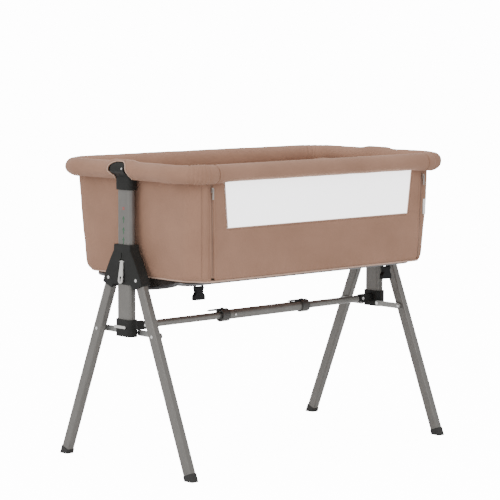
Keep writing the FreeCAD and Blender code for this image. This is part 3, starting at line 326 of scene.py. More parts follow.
def stitches(name: str, line: Sequence[Spot], pitch: float = 0.0040, radius: float = 0.00042) -> Piece:
    """A row of raised stitches along a line of points with their outward directions.

    Args:
        name: The row's name.
        line: Points and outward directions, from end to end.
        pitch: The length of one stitch with its gap.
        radius: The thread's radius.

    Returns:
        The row as one mesh.
    """
    run = [0.0]
    for (first, _), (last, _) in zip(line, line[1:]):
        run.append(run[-1] + (last - first).length)
    count = int(run[-1] / pitch)
    threads, faces = [], []
    for number in range(count):
        ends = []
        for share in (0.12, 0.38, 0.62, 0.88):
            at = (number + share) * pitch
            index = max(i for i in range(len(run) - 1) if run[i] <= at)
            part = (at - run[index]) / (run[index + 1] - run[index])
            (first, up), (last, _) = line[index], line[index + 1]
            sunk = -0.5 * radius if share in (0.12, 0.88) else 0.35 * radius
            ends.append((first.lerp(last, part) + up * sunk, up))
        along = (ends[-1][0] - ends[0][0]).normalized()
        start = len(threads)
        for (point, up), width in zip(ends, (0.55, 1.0, 1.0, 0.55)):
            across = along.cross(up).normalized()
            for turn in range(6):
                angle = math.pi * turn / 3
                threads.append(point + (across * math.cos(angle) + up * math.sin(angle)) * radius * width)
        for ring in range(3):
            for turn in range(6):
                low, next_low = start + ring * 6 + turn, start + ring * 6 + (turn + 1) % 6
                faces.append((low, next_low, next_low + 6, low + 6))
        faces.append(tuple(start + turn for turn in reversed(range(6))))
        faces.append(tuple(start + 18 + turn for turn in range(6)))
    mesh = bpy.data.meshes.new(name)
    mesh.from_pydata([tuple(point) for point in threads], [], faces)
    piece = bpy.data.objects.new(name, mesh)
    bpy.context.scene.collection.objects.link(piece)
    in_edit_mode(piece, lambda: bpy.ops.mesh.normals_make_consistent(inside=False))
    smooth(piece, 60)
    return piece


def swell(piece: Piece, voxel: float, pressure: float, cap: float) -> None:
    """Fill a closed piece as its stuffing would: remesh it, and let cloth swell a little way.

    Args:
        piece: The closed mesh, slightly smaller than the filled one.
        voxel: The new mesh's face size.
        pressure: The filling's pressure.
        cap: The farthest that a point may move.
    """
    apply_modifier(piece, "REMESH", mode="VOXEL", voxel_size=voxel)
    before = [vertex.co.copy() for vertex in piece.data.vertices]
    focus(piece)
    cloth = piece.modifiers.new("Swell", "CLOTH")
    cloth.settings.use_pressure = True
    cloth.settings.uniform_pressure_force = pressure
    cloth.settings.effector_weights.gravity = 0.0
    cloth.settings.tension_stiffness = 20.0
    cloth.settings.compression_stiffness = 12.0
    cloth.settings.quality = 4
    for moment in range(1, 21):
        bpy.context.scene.frame_set(moment)
    bpy.ops.object.modifier_apply(modifier=cloth.name)
    bpy.context.scene.frame_set(1)
    for vertex, rest in zip(piece.data.vertices, before):
        moved = vertex.co - rest
        if moved.length > cap:
            vertex.co = rest + moved.normalized() * cap
    apply_modifier(piece, "SUBSURF", levels=1, render_levels=1)


# ------------------------------------------------------------------ materials

class Paint:
    """Adds and joins the nodes of one material or shader group."""

    def __init__(self, tree: bpy.types.NodeTree) -> None:
        """Start on an empty node tree."""
        self.tree = tree
        tree.nodes.clear()

    def add(self, kind: str, sockets: dict | None = None, **settings: object) -> bpy.types.Node:
        """Add a node.

        Args:
            kind: The node's type.
            sockets: Values or output sockets for its inputs, by name or number.
            settings: The node's own properties.

        Returns:
            The new node.
        """
        node = self.tree.nodes.new(kind)
        for key, value in settings.items():
            setattr(node, key, value)
        for key, value in (sockets or {}).items():
            if isinstance(value, bpy.types.NodeSocket):
                self.tree.links.new(value, node.inputs[key])
            else:
                node.inputs[key].default_value = value
        return node

    def sums(self, operation: str, *values: object) -> bpy.types.NodeSocket:
        """The output of a Math node over values or sockets."""
        return self.add("ShaderNodeMath", dict(enumerate(values)), operation=operation).outputs[0]

    def blend(self, factor: object, first: object, second: object) -> bpy.types.NodeSocket:
        """A mix of two colours."""
        node = self.add("ShaderNodeMix", {0: factor, 6: first, 7: second}, data_type="RGBA")
        return node.outputs[2]


def rgba(colour: Colour, factor: float = 1.0) -> tuple[float, float, float, float]:
    """A colour with full opacity, made lighter or darker by a factor."""
    return (colour[0] * factor, colour[1] * factor, colour[2] * factor, 1.0)


class Groups:
    """The shader groups that several finishes use, each built once."""

    def __init__(self) -> None:
        """Build every group."""
        self.weave = self._weave()
        self.mottle = self._mottle()
        self.grain = self._grain()

    @staticmethod
    def _start(name: str, inputs: dict[str, tuple[str, float]], outputs: Iterable[str]) -> tuple:
        """An empty group with its sockets, its painter and its input and output nodes."""
        tree = bpy.data.node_groups.new(name, "ShaderNodeTree")
        paint = Paint(tree)
        for socket, (kind, value) in inputs.items():
            made = tree.interface.new_socket(socket, in_out="INPUT", socket_type=f"NodeSocket{kind}")
            if kind == "Float":
                made.default_value = value
        for socket in outputs:
            tree.interface.new_socket(socket, in_out="OUTPUT", socket_type="NodeSocketFloat")
        return tree, paint, paint.add("NodeGroupInput"), paint.add("NodeGroupOutput")

    def _weave(self) -> bpy.types.NodeTree:
        """Plain weave: threads over and under each other, as a height."""
        tree, paint, given, result = self._start(
            "cloth_weave", {"Vector": ("Vector", 0), "Threads": ("Float", 900.0)}, ["Height"])
        parts = paint.add("ShaderNodeSeparateXYZ", {0: given.outputs["Vector"]})
        waves = [paint.sums("SINE", paint.sums("MULTIPLY", parts.outputs[i], given.outputs["Threads"]))
                 for i in (0, 1)]
        over = paint.sums("GREATER_THAN", paint.sums("MULTIPLY", waves[0], waves[1]), 0.0)
        warp, weft = paint.sums("ABSOLUTE", waves[0]), paint.sums("ABSOLUTE", waves[1])
        under = paint.sums("SUBTRACT", 1.0, over)
        height = paint.sums("ADD", paint.sums("MULTIPLY", warp, over), paint.sums("MULTIPLY", weft, under))
        paint.tree.links.new(height, result.inputs["Height"])
        return tree

    def _mottle(self) -> bpy.types.NodeTree:
        """Uneven dye: broad clouds and fine flecks, as a mask about one half."""
        tree, paint, given, result = self._start(
            "uneven_dye", {"Vector": ("Vector", 0), "Clouds": ("Float", 9.0), "Flecks": ("Float", 700.0)},
            ["Mask"])
        broad = paint.add("ShaderNodeTexNoise", {"Vector": given.outputs["Vector"],
                                                 "Scale": given.outputs["Clouds"], "Detail": 4.0})
        fine = paint.add("ShaderNodeTexNoise", {"Vector": given.outputs["Vector"],
                                                "Scale": given.outputs["Flecks"], "Detail": 2.0})
        mixed = paint.sums("ADD", paint.sums("MULTIPLY", broad.outputs[0], 0.6),
                           paint.sums("MULTIPLY", fine.outputs[0], 0.4))
        paint.tree.links.new(mixed, result.inputs["Mask"])
        return tree

    def _grain(self) -> bpy.types.NodeTree:
        """The fine orange peel of paint or a mould's texture, with scuffs, as height and mask."""
        tree, paint, given, result = self._start(
            "moulded_grain", {"Vector": ("Vector", 0), "Grain": ("Float", 900.0), "Scuffs": ("Float", 30.0)},
            ["Height", "Scuff"])
        fine = paint.add("ShaderNodeTexNoise", {"Vector": given.outputs["Vector"],
                                                "Scale": given.outputs["Grain"], "Detail": 3.0})
        broad = paint.add("ShaderNodeTexNoise", {"Vector": given.outputs["Vector"],
                                                 "Scale": given.outputs["Scuffs"], "Detail": 6.0,
                                                 "Roughness": 0.7})
        mask = paint.add("ShaderNodeMapRange", {"Value": broad.outputs[0], "From Min": 0.48,
                                                "From Max": 0.72})
        paint.tree.links.new(fine.outputs[0], result.inputs["Height"])
        paint.tree.links.new(mask.outputs[0], result.inputs["Scuff"])
        return tree


class Ground(Enum):
    """What a finish's pattern is laid out on."""

    CLOTH = "the piece's own UV map, in metres"
    OBJECT = "the crib's own frame"


@dataclass(frozen=True)
class ClothFinish:
    """A woven cloth: its tones, thread and sheen, and a glow that is painted light shining through it."""

    name: str
    tone: Colour
    shade: Colour
    threads: float = 3600.0
    relief: float = 0.00012
    sheen: float = 0.12
    sheen_tint: Colour = (0.9, 0.8, 0.72)
    roughness: float = 0.92
    ground: Ground = Ground.CLOTH
    # glow: emission that paints the light shining through a thin cloth; the cloth is no lamp
    glow: float = 0.0

    def build(self, groups: Groups) -> Material:
        """Make the material.

        Args:
            groups: The shared shader groups.

        Returns:
            The finished material.
        """
        material = bpy.data.materials.new(self.name)
        material.use_nodes = True
        paint = Paint(material.node_tree)
        coordinates = paint.add("ShaderNodeTexCoord")
        own = paint.add("ShaderNodeUVMap", uv_map="cloth")
        vector = own.outputs[0] if self.ground is Ground.CLOTH else coordinates.outputs["Object"]
        dye = paint.add("ShaderNodeGroup", node_tree=groups.mottle)
        paint.tree.links.new(coordinates.outputs["Object"], dye.inputs["Vector"])
        dye.inputs["Clouds"].default_value = 11.0
        dye.inputs["Flecks"].default_value = 650.0
        weave = paint.add("ShaderNodeGroup", node_tree=groups.weave)
        paint.tree.links.new(vector, weave.inputs["Vector"])
        weave.inputs["Threads"].default_value = self.threads
        clouds = paint.add("ShaderNodeMapRange", {"Value": dye.outputs["Mask"], "From Min": 0.32,
                                                  "From Max": 0.68})
        # mix towards the shade colour: painted shade in the weave's hollows between threads, plus the dye
        # clouds' random tone
        worn = paint.sums("MULTIPLY_ADD", weave.outputs["Height"], 0.25,
                          paint.sums("MULTIPLY", clouds.outputs[0], 0.75))
        colour = paint.blend(worn, rgba(self.shade), rgba(self.tone))
        height = paint.sums("ADD", weave.outputs["Height"],
                            paint.sums("MULTIPLY", dye.outputs["Mask"], 0.7))
        bump = paint.add("ShaderNodeBump", {"Height": height, "Strength": 0.5, "Distance": self.relief})
        spread = 0.08
        rough = paint.add("ShaderNodeMapRange", {"Value": dye.outputs["Mask"],
                                                 "To Min": self.roughness - spread,
                                                 "To Max": min(1.0, self.roughness + spread)})
        # the Emission Strength is the glow, painted light rather than a lamp
        shader = paint.add("ShaderNodeBsdfPrincipled", {
            "Base Color": colour, "Roughness": rough.outputs[0], "Normal": bump.outputs[0],
            "Sheen Weight": self.sheen, "Sheen Roughness": 0.5, "Sheen Tint": rgba(self.sheen_tint),
            "Specular IOR Level": 0.25, "Emission Color": rgba(self.tone), "Emission Strength": self.glow})
        paint.add("ShaderNodeOutputMaterial", {"Surface": shader.outputs[0]})
        return material


@dataclass(frozen=True)
class HardFinish:
    """Painted metal, moulded plastic, rubber or bare metal."""

    name: str
    tone: Colour
    worn: Colour
    metallic: float = 0.0
    roughness: float = 0.5
    grain: float = 1200.0
    relief: float = 0.00004
    coat: float = 0.0
    gloss: float = 0.5

    def build(self, groups: Groups) -> Material:
        """Make the material.

        Args:
            groups: The shared shader groups.

        Returns:
            The finished material.
        """
        material = bpy.data.materials.new(self.name)
        material.use_nodes = True
        paint = Paint(material.node_tree)
        coordinates = paint.add("ShaderNodeTexCoord")
        grain = paint.add("ShaderNodeGroup", node_tree=groups.grain)
        paint.tree.links.new(coordinates.outputs["Object"], grain.inputs["Vector"])
        grain.inputs["Grain"].default_value = self.grain
        grain.inputs["Scuffs"].default_value = 26.0
        colour = paint.blend(grain.outputs["Scuff"], rgba(self.tone), rgba(self.worn))
        rough = paint.sums("MULTIPLY_ADD", grain.outputs["Scuff"], 0.10,
                           paint.sums("MULTIPLY_ADD", grain.outputs["Height"], 0.08, self.roughness - 0.05))
        bump = paint.add("ShaderNodeBump", {"Height": grain.outputs["Height"], "Strength": 0.35,
                                            "Distance": self.relief})
        shader = paint.add("ShaderNodeBsdfPrincipled", {
            "Base Color": colour, "Roughness": rough, "Normal": bump.outputs[0],
            "Metallic": self.metallic, "Coat Weight": self.coat, "Coat Roughness": 0.25,
            "Specular IOR Level": self.gloss})
        paint.add("ShaderNodeOutputMaterial", {"Surface": shader.outputs[0]})
        return material


MOCHA = ClothFinish("mocha_cloth", (0.338, 0.190, 0.130), (0.248, 0.135, 0.089))
# lighter trim cloth: the openings' piping and the window's binding, and also painted highlights on the rail's
# top welts and the basket's lower roll
MOCHA_TRIM_AND_HIGHLIGHT = ClothFinish("mocha_trim_and_highlight", (0.52, 0.35, 0.27), (0.42, 0.275, 0.21), threads=5200.0)
MOCHA_THREAD = ClothFinish("mocha_thread", (0.200, 0.118, 0.086), (0.150, 0.088, 0.062), threads=6000.0,
                           ground=Ground.OBJECT)
TAPE = ClothFinish("zip_tape_cloth", (0.31, 0.180, 0.126), (0.25, 0.145, 0.100), threads=6200.0)
TEETH = ClothFinish("zip_teeth_nylon", (0.30, 0.185, 0.135), (0.24, 0.145, 0.104), threads=6200.0, sheen=0.1,
                    roughness=0.5, ground=Ground.OBJECT)
# the window mesh glows: painted light standing in for the light that shines through the mesh
MESH = ClothFinish("window_mesh_painted_glow_cloth", (0.96, 0.955, 0.97), (0.90, 0.895, 0.91), threads=2600.0,
                   relief=0.0003, sheen=0.1, sheen_tint=(1.0, 1.0, 1.0), roughness=0.7, glow=2.2)
TICKING = ClothFinish("mattress_cloth", (0.74, 0.70, 0.64), (0.64, 0.60, 0.54), threads=4200.0,
                      ground=Ground.OBJECT)
TICKING_CORD = ClothFinish("mattress_cord_cloth", (0.62, 0.55, 0.47), (0.52, 0.45, 0.38), threads=5200.0,
                           ground=Ground.OBJECT)
LABEL = ClothFinish("blank_label_cloth", (0.85, 0.84, 0.82), (0.76, 0.75, 0.73), threads=7000.0)
WEBBING = ClothFinish("black_webbing", (0.020, 0.019, 0.019), (0.011, 0.011, 0.011), threads=4200.0,
                      relief=0.0003)
# near-black sleeve cloth: painted shade in the gap under the basket's floor
RUNNER_SHADE_CLOTH = ClothFinish("runner_painted_shade_cloth", (0.030, 0.022, 0.020), (0.018, 0.014, 0.013), threads=4200.0)

HARD_FINISHES = {
    "frame_grey": HardFinish("satin_grey_paint", (0.150, 0.143, 0.133), (0.170, 0.163, 0.152), 0.35, 0.36),
    "plastic_charcoal": HardFinish("charcoal_plastic", (0.017, 0.017, 0.016), (0.024, 0.024, 0.023),
                                   roughness=0.50, grain=2200.0, relief=0.00008, gloss=0.15),
    "plastic_black": HardFinish("black_plastic", (0.010, 0.010, 0.011), (0.016, 0.016, 0.017),
                                roughness=0.45, grain=2200.0, relief=0.00008, gloss=0.14),
    "bright_steel": HardFinish("bright_rivet_steel", (0.74, 0.74, 0.73), (0.62, 0.62, 0.61), 1.0, 0.22),
    "clip_metal": HardFinish("pale_clip_metal", (0.64, 0.63, 0.60), (0.52, 0.51, 0.49), 0.6, 0.34),
    "zip_metal": HardFinish("zip_slider_metal", (0.40, 0.36, 0.33), (0.32, 0.29, 0.27), 0.7, 0.36),
    "link_steel": HardFinish("link_steel", (0.30, 0.30, 0.29), (0.24, 0.24, 0.23), 0.6, 0.38),
    "bar_grey": HardFinish("bar_grey_paint", (0.19, 0.184, 0.174), (0.23, 0.223, 0.21), 0.5, 0.38),
    "ring_plastic": HardFinish("ring_plastic", (0.055, 0.053, 0.050), (0.075, 0.073, 0.068), roughness=0.45,
                               grain=2000.0),
    "tube_dark": HardFinish("dark_tube_enamel", (0.11, 0.105, 0.110), (0.14, 0.135, 0.140), 0.7, 0.30,
                            coat=0.5),
    "tube_steel": HardFinish("plain_tube_steel", (0.55, 0.55, 0.55), (0.42, 0.42, 0.42), 1.0, 0.35),
    "foot_rubber": HardFinish("foot_rubber", (0.022, 0.021, 0.020), (0.034, 0.033, 0.031), roughness=0.75,
                              grain=1500.0, relief=0.00012),
    "board": HardFinish("pressed_board", (0.36, 0.27, 0.19), (0.30, 0.22, 0.15), roughness=0.85),
}

RED_PRINT = HardFinish("dark_red_print", (0.34, 0.060, 0.055), (0.28, 0.050, 0.045), roughness=0.5)
GREEN_PRINT = HardFinish("green_print", (0.030, 0.105, 0.050), (0.024, 0.085, 0.040), roughness=0.5)


# ------------------------------------------------------------------ the crib's outlines

@dataclass(frozen=True)
class Rim:
    """A rounded rectangle, followed anticlockwise from the right part of its front side to the left."""

    half_length: float
    half_width: float
    corner: float
    start: float = 0.0

    def lengths(self) -> list[float]:
        """The lengths of its nine runs and turns."""
        side, end = self.half_length - self.corner, self.half_width - self.corner
        turn = self.corner * math.pi / 2
        return [side - self.start, turn, 2 * end, turn, 2 * side, turn, 2 * end, turn, side - self.start]

    def spot(self, run: int, part: float) -> Spot:
        """A point on a run or turn.

        Args:
            run: Which of the nine runs and turns.
            part: How far along it, from 0 to 1.

        Returns:
            The point at height 0, and the outward direction.
        """
        side, end = self.half_length - self.corner, self.half_width - self.corner
        if run % 2:
            centre = Vector((side if run in (1, 3) else -side, end if run in (3, 5) else -end, 0))
            angle = math.pi / 2 * ((run - 1) // 2 - 1 + part)
            out = Vector((math.cos(angle), math.sin(angle), 0))
            return centre + out * self.corner, out
        a, b = self.half_length, self.half_width
        ends = {0: ((self.start, -b), (side, -b), (0, -1)), 2: ((a, -end), (a, end), (1, 0)),
                4: ((side, b), (-side, b), (0, 1)), 6: ((-a, end), (-a, -end), (-1, 0)),
                8: ((-side, -b), (-self.start, -b), (0, -1))}
        first, last, out = ends[run]
        x = first[0] + (last[0] - first[0]) * part
        y = first[1] + (last[1] - first[1]) * part
        return Vector((x, y, 0)), Vector((*out, 0))


@dataclass(frozen=True)
class Course:
    """Divides a rim's whole length, so that one number from 0 to 1 finds a run and a part of it."""

    rim: Rim

    def total(self) -> float:
        """The rim's length."""
        return sum(self.rim.lengths())

    def find(self, u: float) -> tuple[int, float]:
        """The run and the part of it at u."""
        rest = min(max(u, 0.0), 1.0) * self.total()
        lengths = self.rim.lengths()
        for run, length in enumerate(lengths):
            if rest <= length or run == 8:
                return run, min(1.0, rest / length) if length > 0 else 0.0
            rest -= length
        return 8, 1.0

    def at(self, distance: float) -> Spot:
        """The point and outward direction at a distance from the start."""
        return self.rim.spot(*self.find(distance / self.total()))


def front_face(height: float) -> float:
    """The y of the basket's front side at a height: it leans out a little towards its top."""
    foot, foot_height, lean = -0.2165, 0.4465, 0.0045 / 0.2257
    return foot - lean * (height - foot_height)


# ------------------------------------------------------------------ the padded rail

@dataclass
class RailCovers:
    """The padded covers of the rail: the U round the ends and back, and the drop side's length.

    Angles about the rail are in degrees: 0 is outward, 90 is up and -90 is down.
    """

    cloth: Material
    trim: Material
    thread: Material
    rim: Rim = Rim(0.427, 0.2252, 0.065, 0.3520)
    height: float = 0.6945
    radius: float = 0.0216
    wall: float = 0.0100
    columns: int = 960
    rows: int = 48
    notch_base: float = 0.030
    notch_top: float = 60.0
    drop_length: float = 0.7030
    highlight_line_angle: float = 92.0
    # the angle about the rail of the light welts, which paint the highlight along the covers' tops
    gathers: tuple[float, float] = (0.0230, 0.0610)
    arch: tuple[tuple[float, float], ...] = (
        (-180, 0.0290), (-90, 0.0290), (-60, 0.0330), (-15, 0.0345), (5, 0.0330), (20, 0.0305), (35, 0.0275),
        (46, 0.0230), (54, 0.0175), (60, 0.0115), (72, 0.0180), (90, 0.0280), (102, 0.030), (180, 0.030))
    back_arch: tuple[tuple[float, float], ...] = (
        (-180, 0.0290), (-80, 0.0285), (-62, 0.0230), (-40, 0.0200), (-20, 0.0245), (0, 0.0300), (20, 0.0300),
        (35, 0.0275), (46, 0.0230), (54, 0.0175), (60, 0.0115), (72, 0.0180), (90, 0.0280), (102, 0.030),
        (180, 0.030))
    hump: tuple[tuple[float, float], ...] = (
        (-40, 0.0), (-12, 0.0006), (0, 0.0036), (15, 0.0046), (75, 0.0046), (90, 0.0042), (105, 0.0030),
        (120, 0.0013), (140, 0.0))

    def brackets(self) -> tuple[float, float]:
        """The distances along the rail of the right and the left bracket."""
        side, end = self.rim.half_length - self.rim.corner, self.rim.half_width - self.rim.corner
        away = side + self.rim.corner * math.pi / 2 + end
        middle = Course(self.rim).total() / 2
        return middle - away, middle + away

    def arch_half(self, offset: float, angle: float) -> float:
        """The opening's half width round a bracket, towards the front or the back of the crib.

        Args:
            offset: The signed distance along the rail from the nearest bracket's middle.
            angle: The angle about the rail.

        Returns:
            The distance from the bracket's middle to the opening's edge.
        """
        return reading(self.back_arch if offset > 0 else self.arch, angle)

    def from_bracket(self, distance: float) -> float:
        """The distance along the rail from the nearest bracket, above 0 towards the crib's back."""
        right, left = self.brackets()
        return distance - right if abs(distance - right) < abs(distance - left) else left - distance

    def warp(self, distance: float, angle: float) -> tuple[float, float]:
        """Where a line of the grid lies once it runs round a bracket's opening.

        Args:
            distance: The line's even distance along the rail.
            angle: The angle about the rail.

        Returns:
            The distance along the rail, and how far that is outside the opening's edge.
        """
        nearest = min(self.brackets(), key=lambda middle: abs(distance - middle))
        offset, reach = abs(distance - nearest), 0.110
        half = self.arch_half(self.from_bracket(distance), angle)
        if offset <= self.notch_base:
            moved = offset * half / self.notch_base
        elif offset < reach:
            moved = half + (offset - self.notch_base) * (reach - half) / (reach - self.notch_base)
        else:
            moved = offset
        return nearest + math.copysign(moved, distance - nearest), moved - half

    def swollen(self, distance: float, angle: float) -> float:
        """The cover's radius at a distance along it and an angle round it."""
        total = Course(self.rim).total()
        from_end = min(distance, total - distance)
        turn = math.radians(angle)
        point, _ = Course(self.rim).at(distance)
        spin = Vector((point.x, point.y, self.height + 0.05 * math.sin(turn)))
        signed = self.from_bracket(distance)
        offset = abs(signed)
        # uneven filling, then the raised part over a bracket
        radius = self.radius + 0.0007 * creases(spin, 0.055) + 0.0004 * creases(spin * 1.7, 0.021)
        hump_full, hump_gone = 0.028, 0.056
        radius += reading(self.hump, angle) * (1 - ease(offset, hump_full, hump_gone))
        # flatter below at both ends, most of all in their middle
        in_middle = 1 - ease(abs(point.y), 0.07, 0.17)
        at_end = ease(abs(point.x), 0.385, 0.424) * (0.45 + 0.55 * in_middle)
        radius -= 0.0052 * hill(angle + 55, 36) * at_end
        # small pleats inside the corners
        corner = hill(abs(point.x) - 0.408, 0.032) * hill(abs(point.y) - 0.206, 0.032)
        inside = 0.5 - 0.5 * math.cos(turn)
        pleat = 0.5 + 0.5 * math.cos(distance / 0.0024 + 2 * math.sin(turn))
        radius -= 0.0012 * corner * inside * pleat
        # gathers of the sleeves, their seams, the double seam and the folds beside the openings
        low, high = self.gathers
        pleats = ease(from_end, low, low + 0.004) * (1 - ease(from_end, high - 0.004, high))
        bow = 1.4 * math.sin(turn + 0.6)
        radius += pleats * (0.0005 + 0.0010 * math.cos(from_end / 0.00115 + bow + 0.8 * creases(spin, 0.02)))
        for seam, depth in ((0.0035, 0.0004), (low, 0.0013), (high, 0.0016)):
            radius -= depth * hill(from_end - seam, 0.0015)
        for seam in (total / 2 - 0.3847, total / 2 - 0.3989):
            radius -= 0.0011 * hill(distance - seam, 0.0011)
        for fold, place in ((0.0010, 0.010), (0.0007, 0.0175)):
            gap = offset - self.arch_half(signed, angle) - place
            radius -= fold * hill(gap, 0.0022) * (1 - ease(angle, 25, 60)) * ease(angle, -120, -70)
        return radius

    def on_cover(self, distance: float, angle: float, proud: float = 0.0) -> Spot:
        """A point on the U-shaped cover's outer face.

        Args:
            distance: The distance along the rail.
            angle: The angle about the rail.
            proud: How far the point stands out from the cloth.

        Returns:
            The point and its outward direction.
        """
        point, out = Course(self.rim).at(distance)
        turn = math.radians(angle)
        up = out * math.cos(turn) + Vector((0, 0, math.sin(turn)))
        return point + Vector((0, 0, self.height)) + up * (self.swollen(distance, angle) + proud), up

    def main_place(self, u: float, v: float) -> Vector:
        """A point of the U-shaped cover's outer face, on the grid that runs round the openings."""
        angle = 360 * v - 180
        distance, _ = self.warp(u * Course(self.rim).total(), angle)
        return self.on_cover(distance, angle)[0]

    def main_edge(self, u: float, v: float) -> float:
        """How full the U-shaped cover is: less towards its ends and the openings."""
        total = Course(self.rim).total()
        angle = 360 * v - 180
        distance, outside = self.warp(u * total, angle)
        full = rounding(min(distance, total - distance), 0.0016)
        above = math.radians(angle - self.notch_top) * self.radius
        if above > 0:
            nearest = min(abs(distance - middle) for middle in self.brackets())
            gap = math.hypot(max(0.0, nearest - reading(self.arch, self.notch_top)), above)
        else:
            gap = max(0.0, outside)
        return min(full, rounding(gap, 0.0036))

    def in_notch(self, u: float, v: float) -> bool:
        """Whether a face of the grid lies in the opening round a bracket."""
        distance = u * Course(self.rim).total()
        near = any(abs(distance - middle) < self.notch_base for middle in self.brackets())
        return near and 360 * v - 180 < self.notch_top

    def build_main(self) -> Piece:
        """Build the U-shaped cover, open round both brackets."""
        cover = padded_sheet(
            "rail_cover_padding", self.columns, self.rows, self.main_place, self.wall,
            (Course(self.rim).total(), 2 * math.pi * self.radius), self.main_edge,
            keep=lambda u, v: not self.in_notch(u, v))
        return finish(cover, self.cloth, "mocha_fabric", "basket", "rail_cover")

    def drop_place(self, u: float, v: float) -> Vector:
        """A point of the drop side's rail cover."""
        turn = 2 * math.pi * v - math.pi
        x = (u - 0.5) * self.drop_length
        spin = Vector((x, 0, 0.05 * math.sin(turn)))
        radius = self.radius + 0.0007 * creases(spin, 0.06) + 0.0003 * creases(spin * 2.1, 0.02)
        from_end = self.drop_length / 2 - abs(x)
        radius -= 0.0005 * hill(from_end - 0.008, 0.0014)
        radius += 0.0003 * math.cos(from_end / 0.0021) * hill(from_end, 0.018)
        below = math.degrees(turn) + 75
        radius -= 0.0044 * hill(below, 34) * ease(from_end, 0.010, 0.050)
        radius -= 0.0007 * hill((turn + math.pi / 2 + 0.35) * radius, 0.0022)
        return Vector((x, -self.rim.half_width - radius * math.cos(turn),
                       self.height + radius * math.sin(turn)))

    def build_drop(self) -> Piece:
        """Build the drop side's rail cover."""
        length = self.drop_length
        cover = padded_sheet("drop_rail_cover_padding", 420, 40, self.drop_place, self.wall,
                             (length, 2 * math.pi * self.radius),
                             lambda u, v: rounding(length * min(u, 1 - u), 0.0016))
        return finish(cover, self.cloth, "mocha_fabric", "drop_side", "drop_rail_cover")

    def opening_line(self, middle: float, outside: float, sunk: float) -> list[Spot]:
        """Points along an opening's edge, from below on one side over its top to the other side.

        Args:
            middle: The bracket's distance along the rail.
            outside: How far the line lies outside the edge.
            sunk: How far it lies below the cover's outer face.

        Returns:
            The points with their outward directions.
        """
        places = []
        lowest, steps, over_steps = -84, 40, 12
        over = self.notch_top + math.degrees(outside / self.radius)
        angles = [lowest + (over - lowest) * step / steps for step in range(steps + 1)]
        back = 1 if middle < Course(self.rim).total() / 2 else -1
        for angle in angles:
            half = self.arch_half(-back, min(angle, self.notch_top))
            places.append((-half - outside, angle))
        half = reading(self.arch, self.notch_top) + outside
        places += [(half * (2 * step / over_steps - 1), over) for step in range(1, over_steps)]
        for angle in reversed(angles):
            half = self.arch_half(back, min(angle, self.notch_top))
            places.append((half + outside, angle))
        return [self.on_cover(middle + offset, angle, -sunk) for offset, angle in places]

    def build_piping(self) -> Piece:
        """Build the corded edges of the cover's two openings round the brackets."""
        outside, sunk, radius = 0.0008, 0.0004, 0.0014
        cords = []
        for number, middle in enumerate(self.brackets()):
            line = [point for point, _ in self.opening_line(middle, outside, sunk)]
            cords.append(tube_along(f"piping_{number}", line, radius))
        piping = join("bracket_opening_piping", cords)
        return finish(piping, self.trim, "mocha_fabric", "basket")

    def build_highlight_welts(self) -> list[Piece]:
        """Build the thin light welts along the top of both covers, in the lighter trim cloth: a painted
        highlight along the covers' tops.
        """
        total = Course(self.rim).total()
        radius, proud, from_end, steps, drop_steps = 0.0009, 0.0001, 0.001, 560, 200
        line = [self.on_cover(from_end + (total - 2 * from_end) * step / steps, self.highlight_line_angle, proud)[0]
                for step in range(steps + 1)]
        main = tube_along("rail_cover_highlight_welt", line, radius, sides=6)
        line = [self.drop_place(step / drop_steps, (self.highlight_line_angle + 180) / 360) + Vector((0, 0, proud))
                for step in range(1, drop_steps)]
        drop = tube_along("drop_rail_cover_highlight_welt", line, radius, sides=6)
        return [finish(main, self.trim, "mocha_fabric", "basket"),
                finish(drop, self.trim, "mocha_fabric", "drop_side")]

    def build_stitching(self) -> Piece:
        """Build the stitches beside the openings' edges and along the double seam at the back."""
        rows = [stitches(f"opening_stitches_{number}", self.opening_line(middle, 0.0052, 0.0001))
                for number, middle in enumerate(self.brackets())]
        middle, sunk, turn = Course(self.rim).total() / 2, 0.0001, 6
        for number, seam in enumerate((0.3827, 0.4009)):
            angles = [(turn * step + 180) % 360 - 180 for step in range(360 // turn + 1)]
            line = [self.on_cover(middle - seam, angle, -sunk) for angle in angles]
            rows.append(stitches(f"back_seam_stitches_{number}", line))
        rows = join("rail_cover_stitches", rows)
        return finish(rows, self.thread, "mocha_fabric", "basket")

    def build(self) -> list[Piece]:
        """Build all of the rail's covers."""
        return [self.build_main(), self.build_drop(), self.build_piping(), *self.build_highlight_welts(),
                self.build_stitching()]


# ------------------------------------------------------------------ the basket

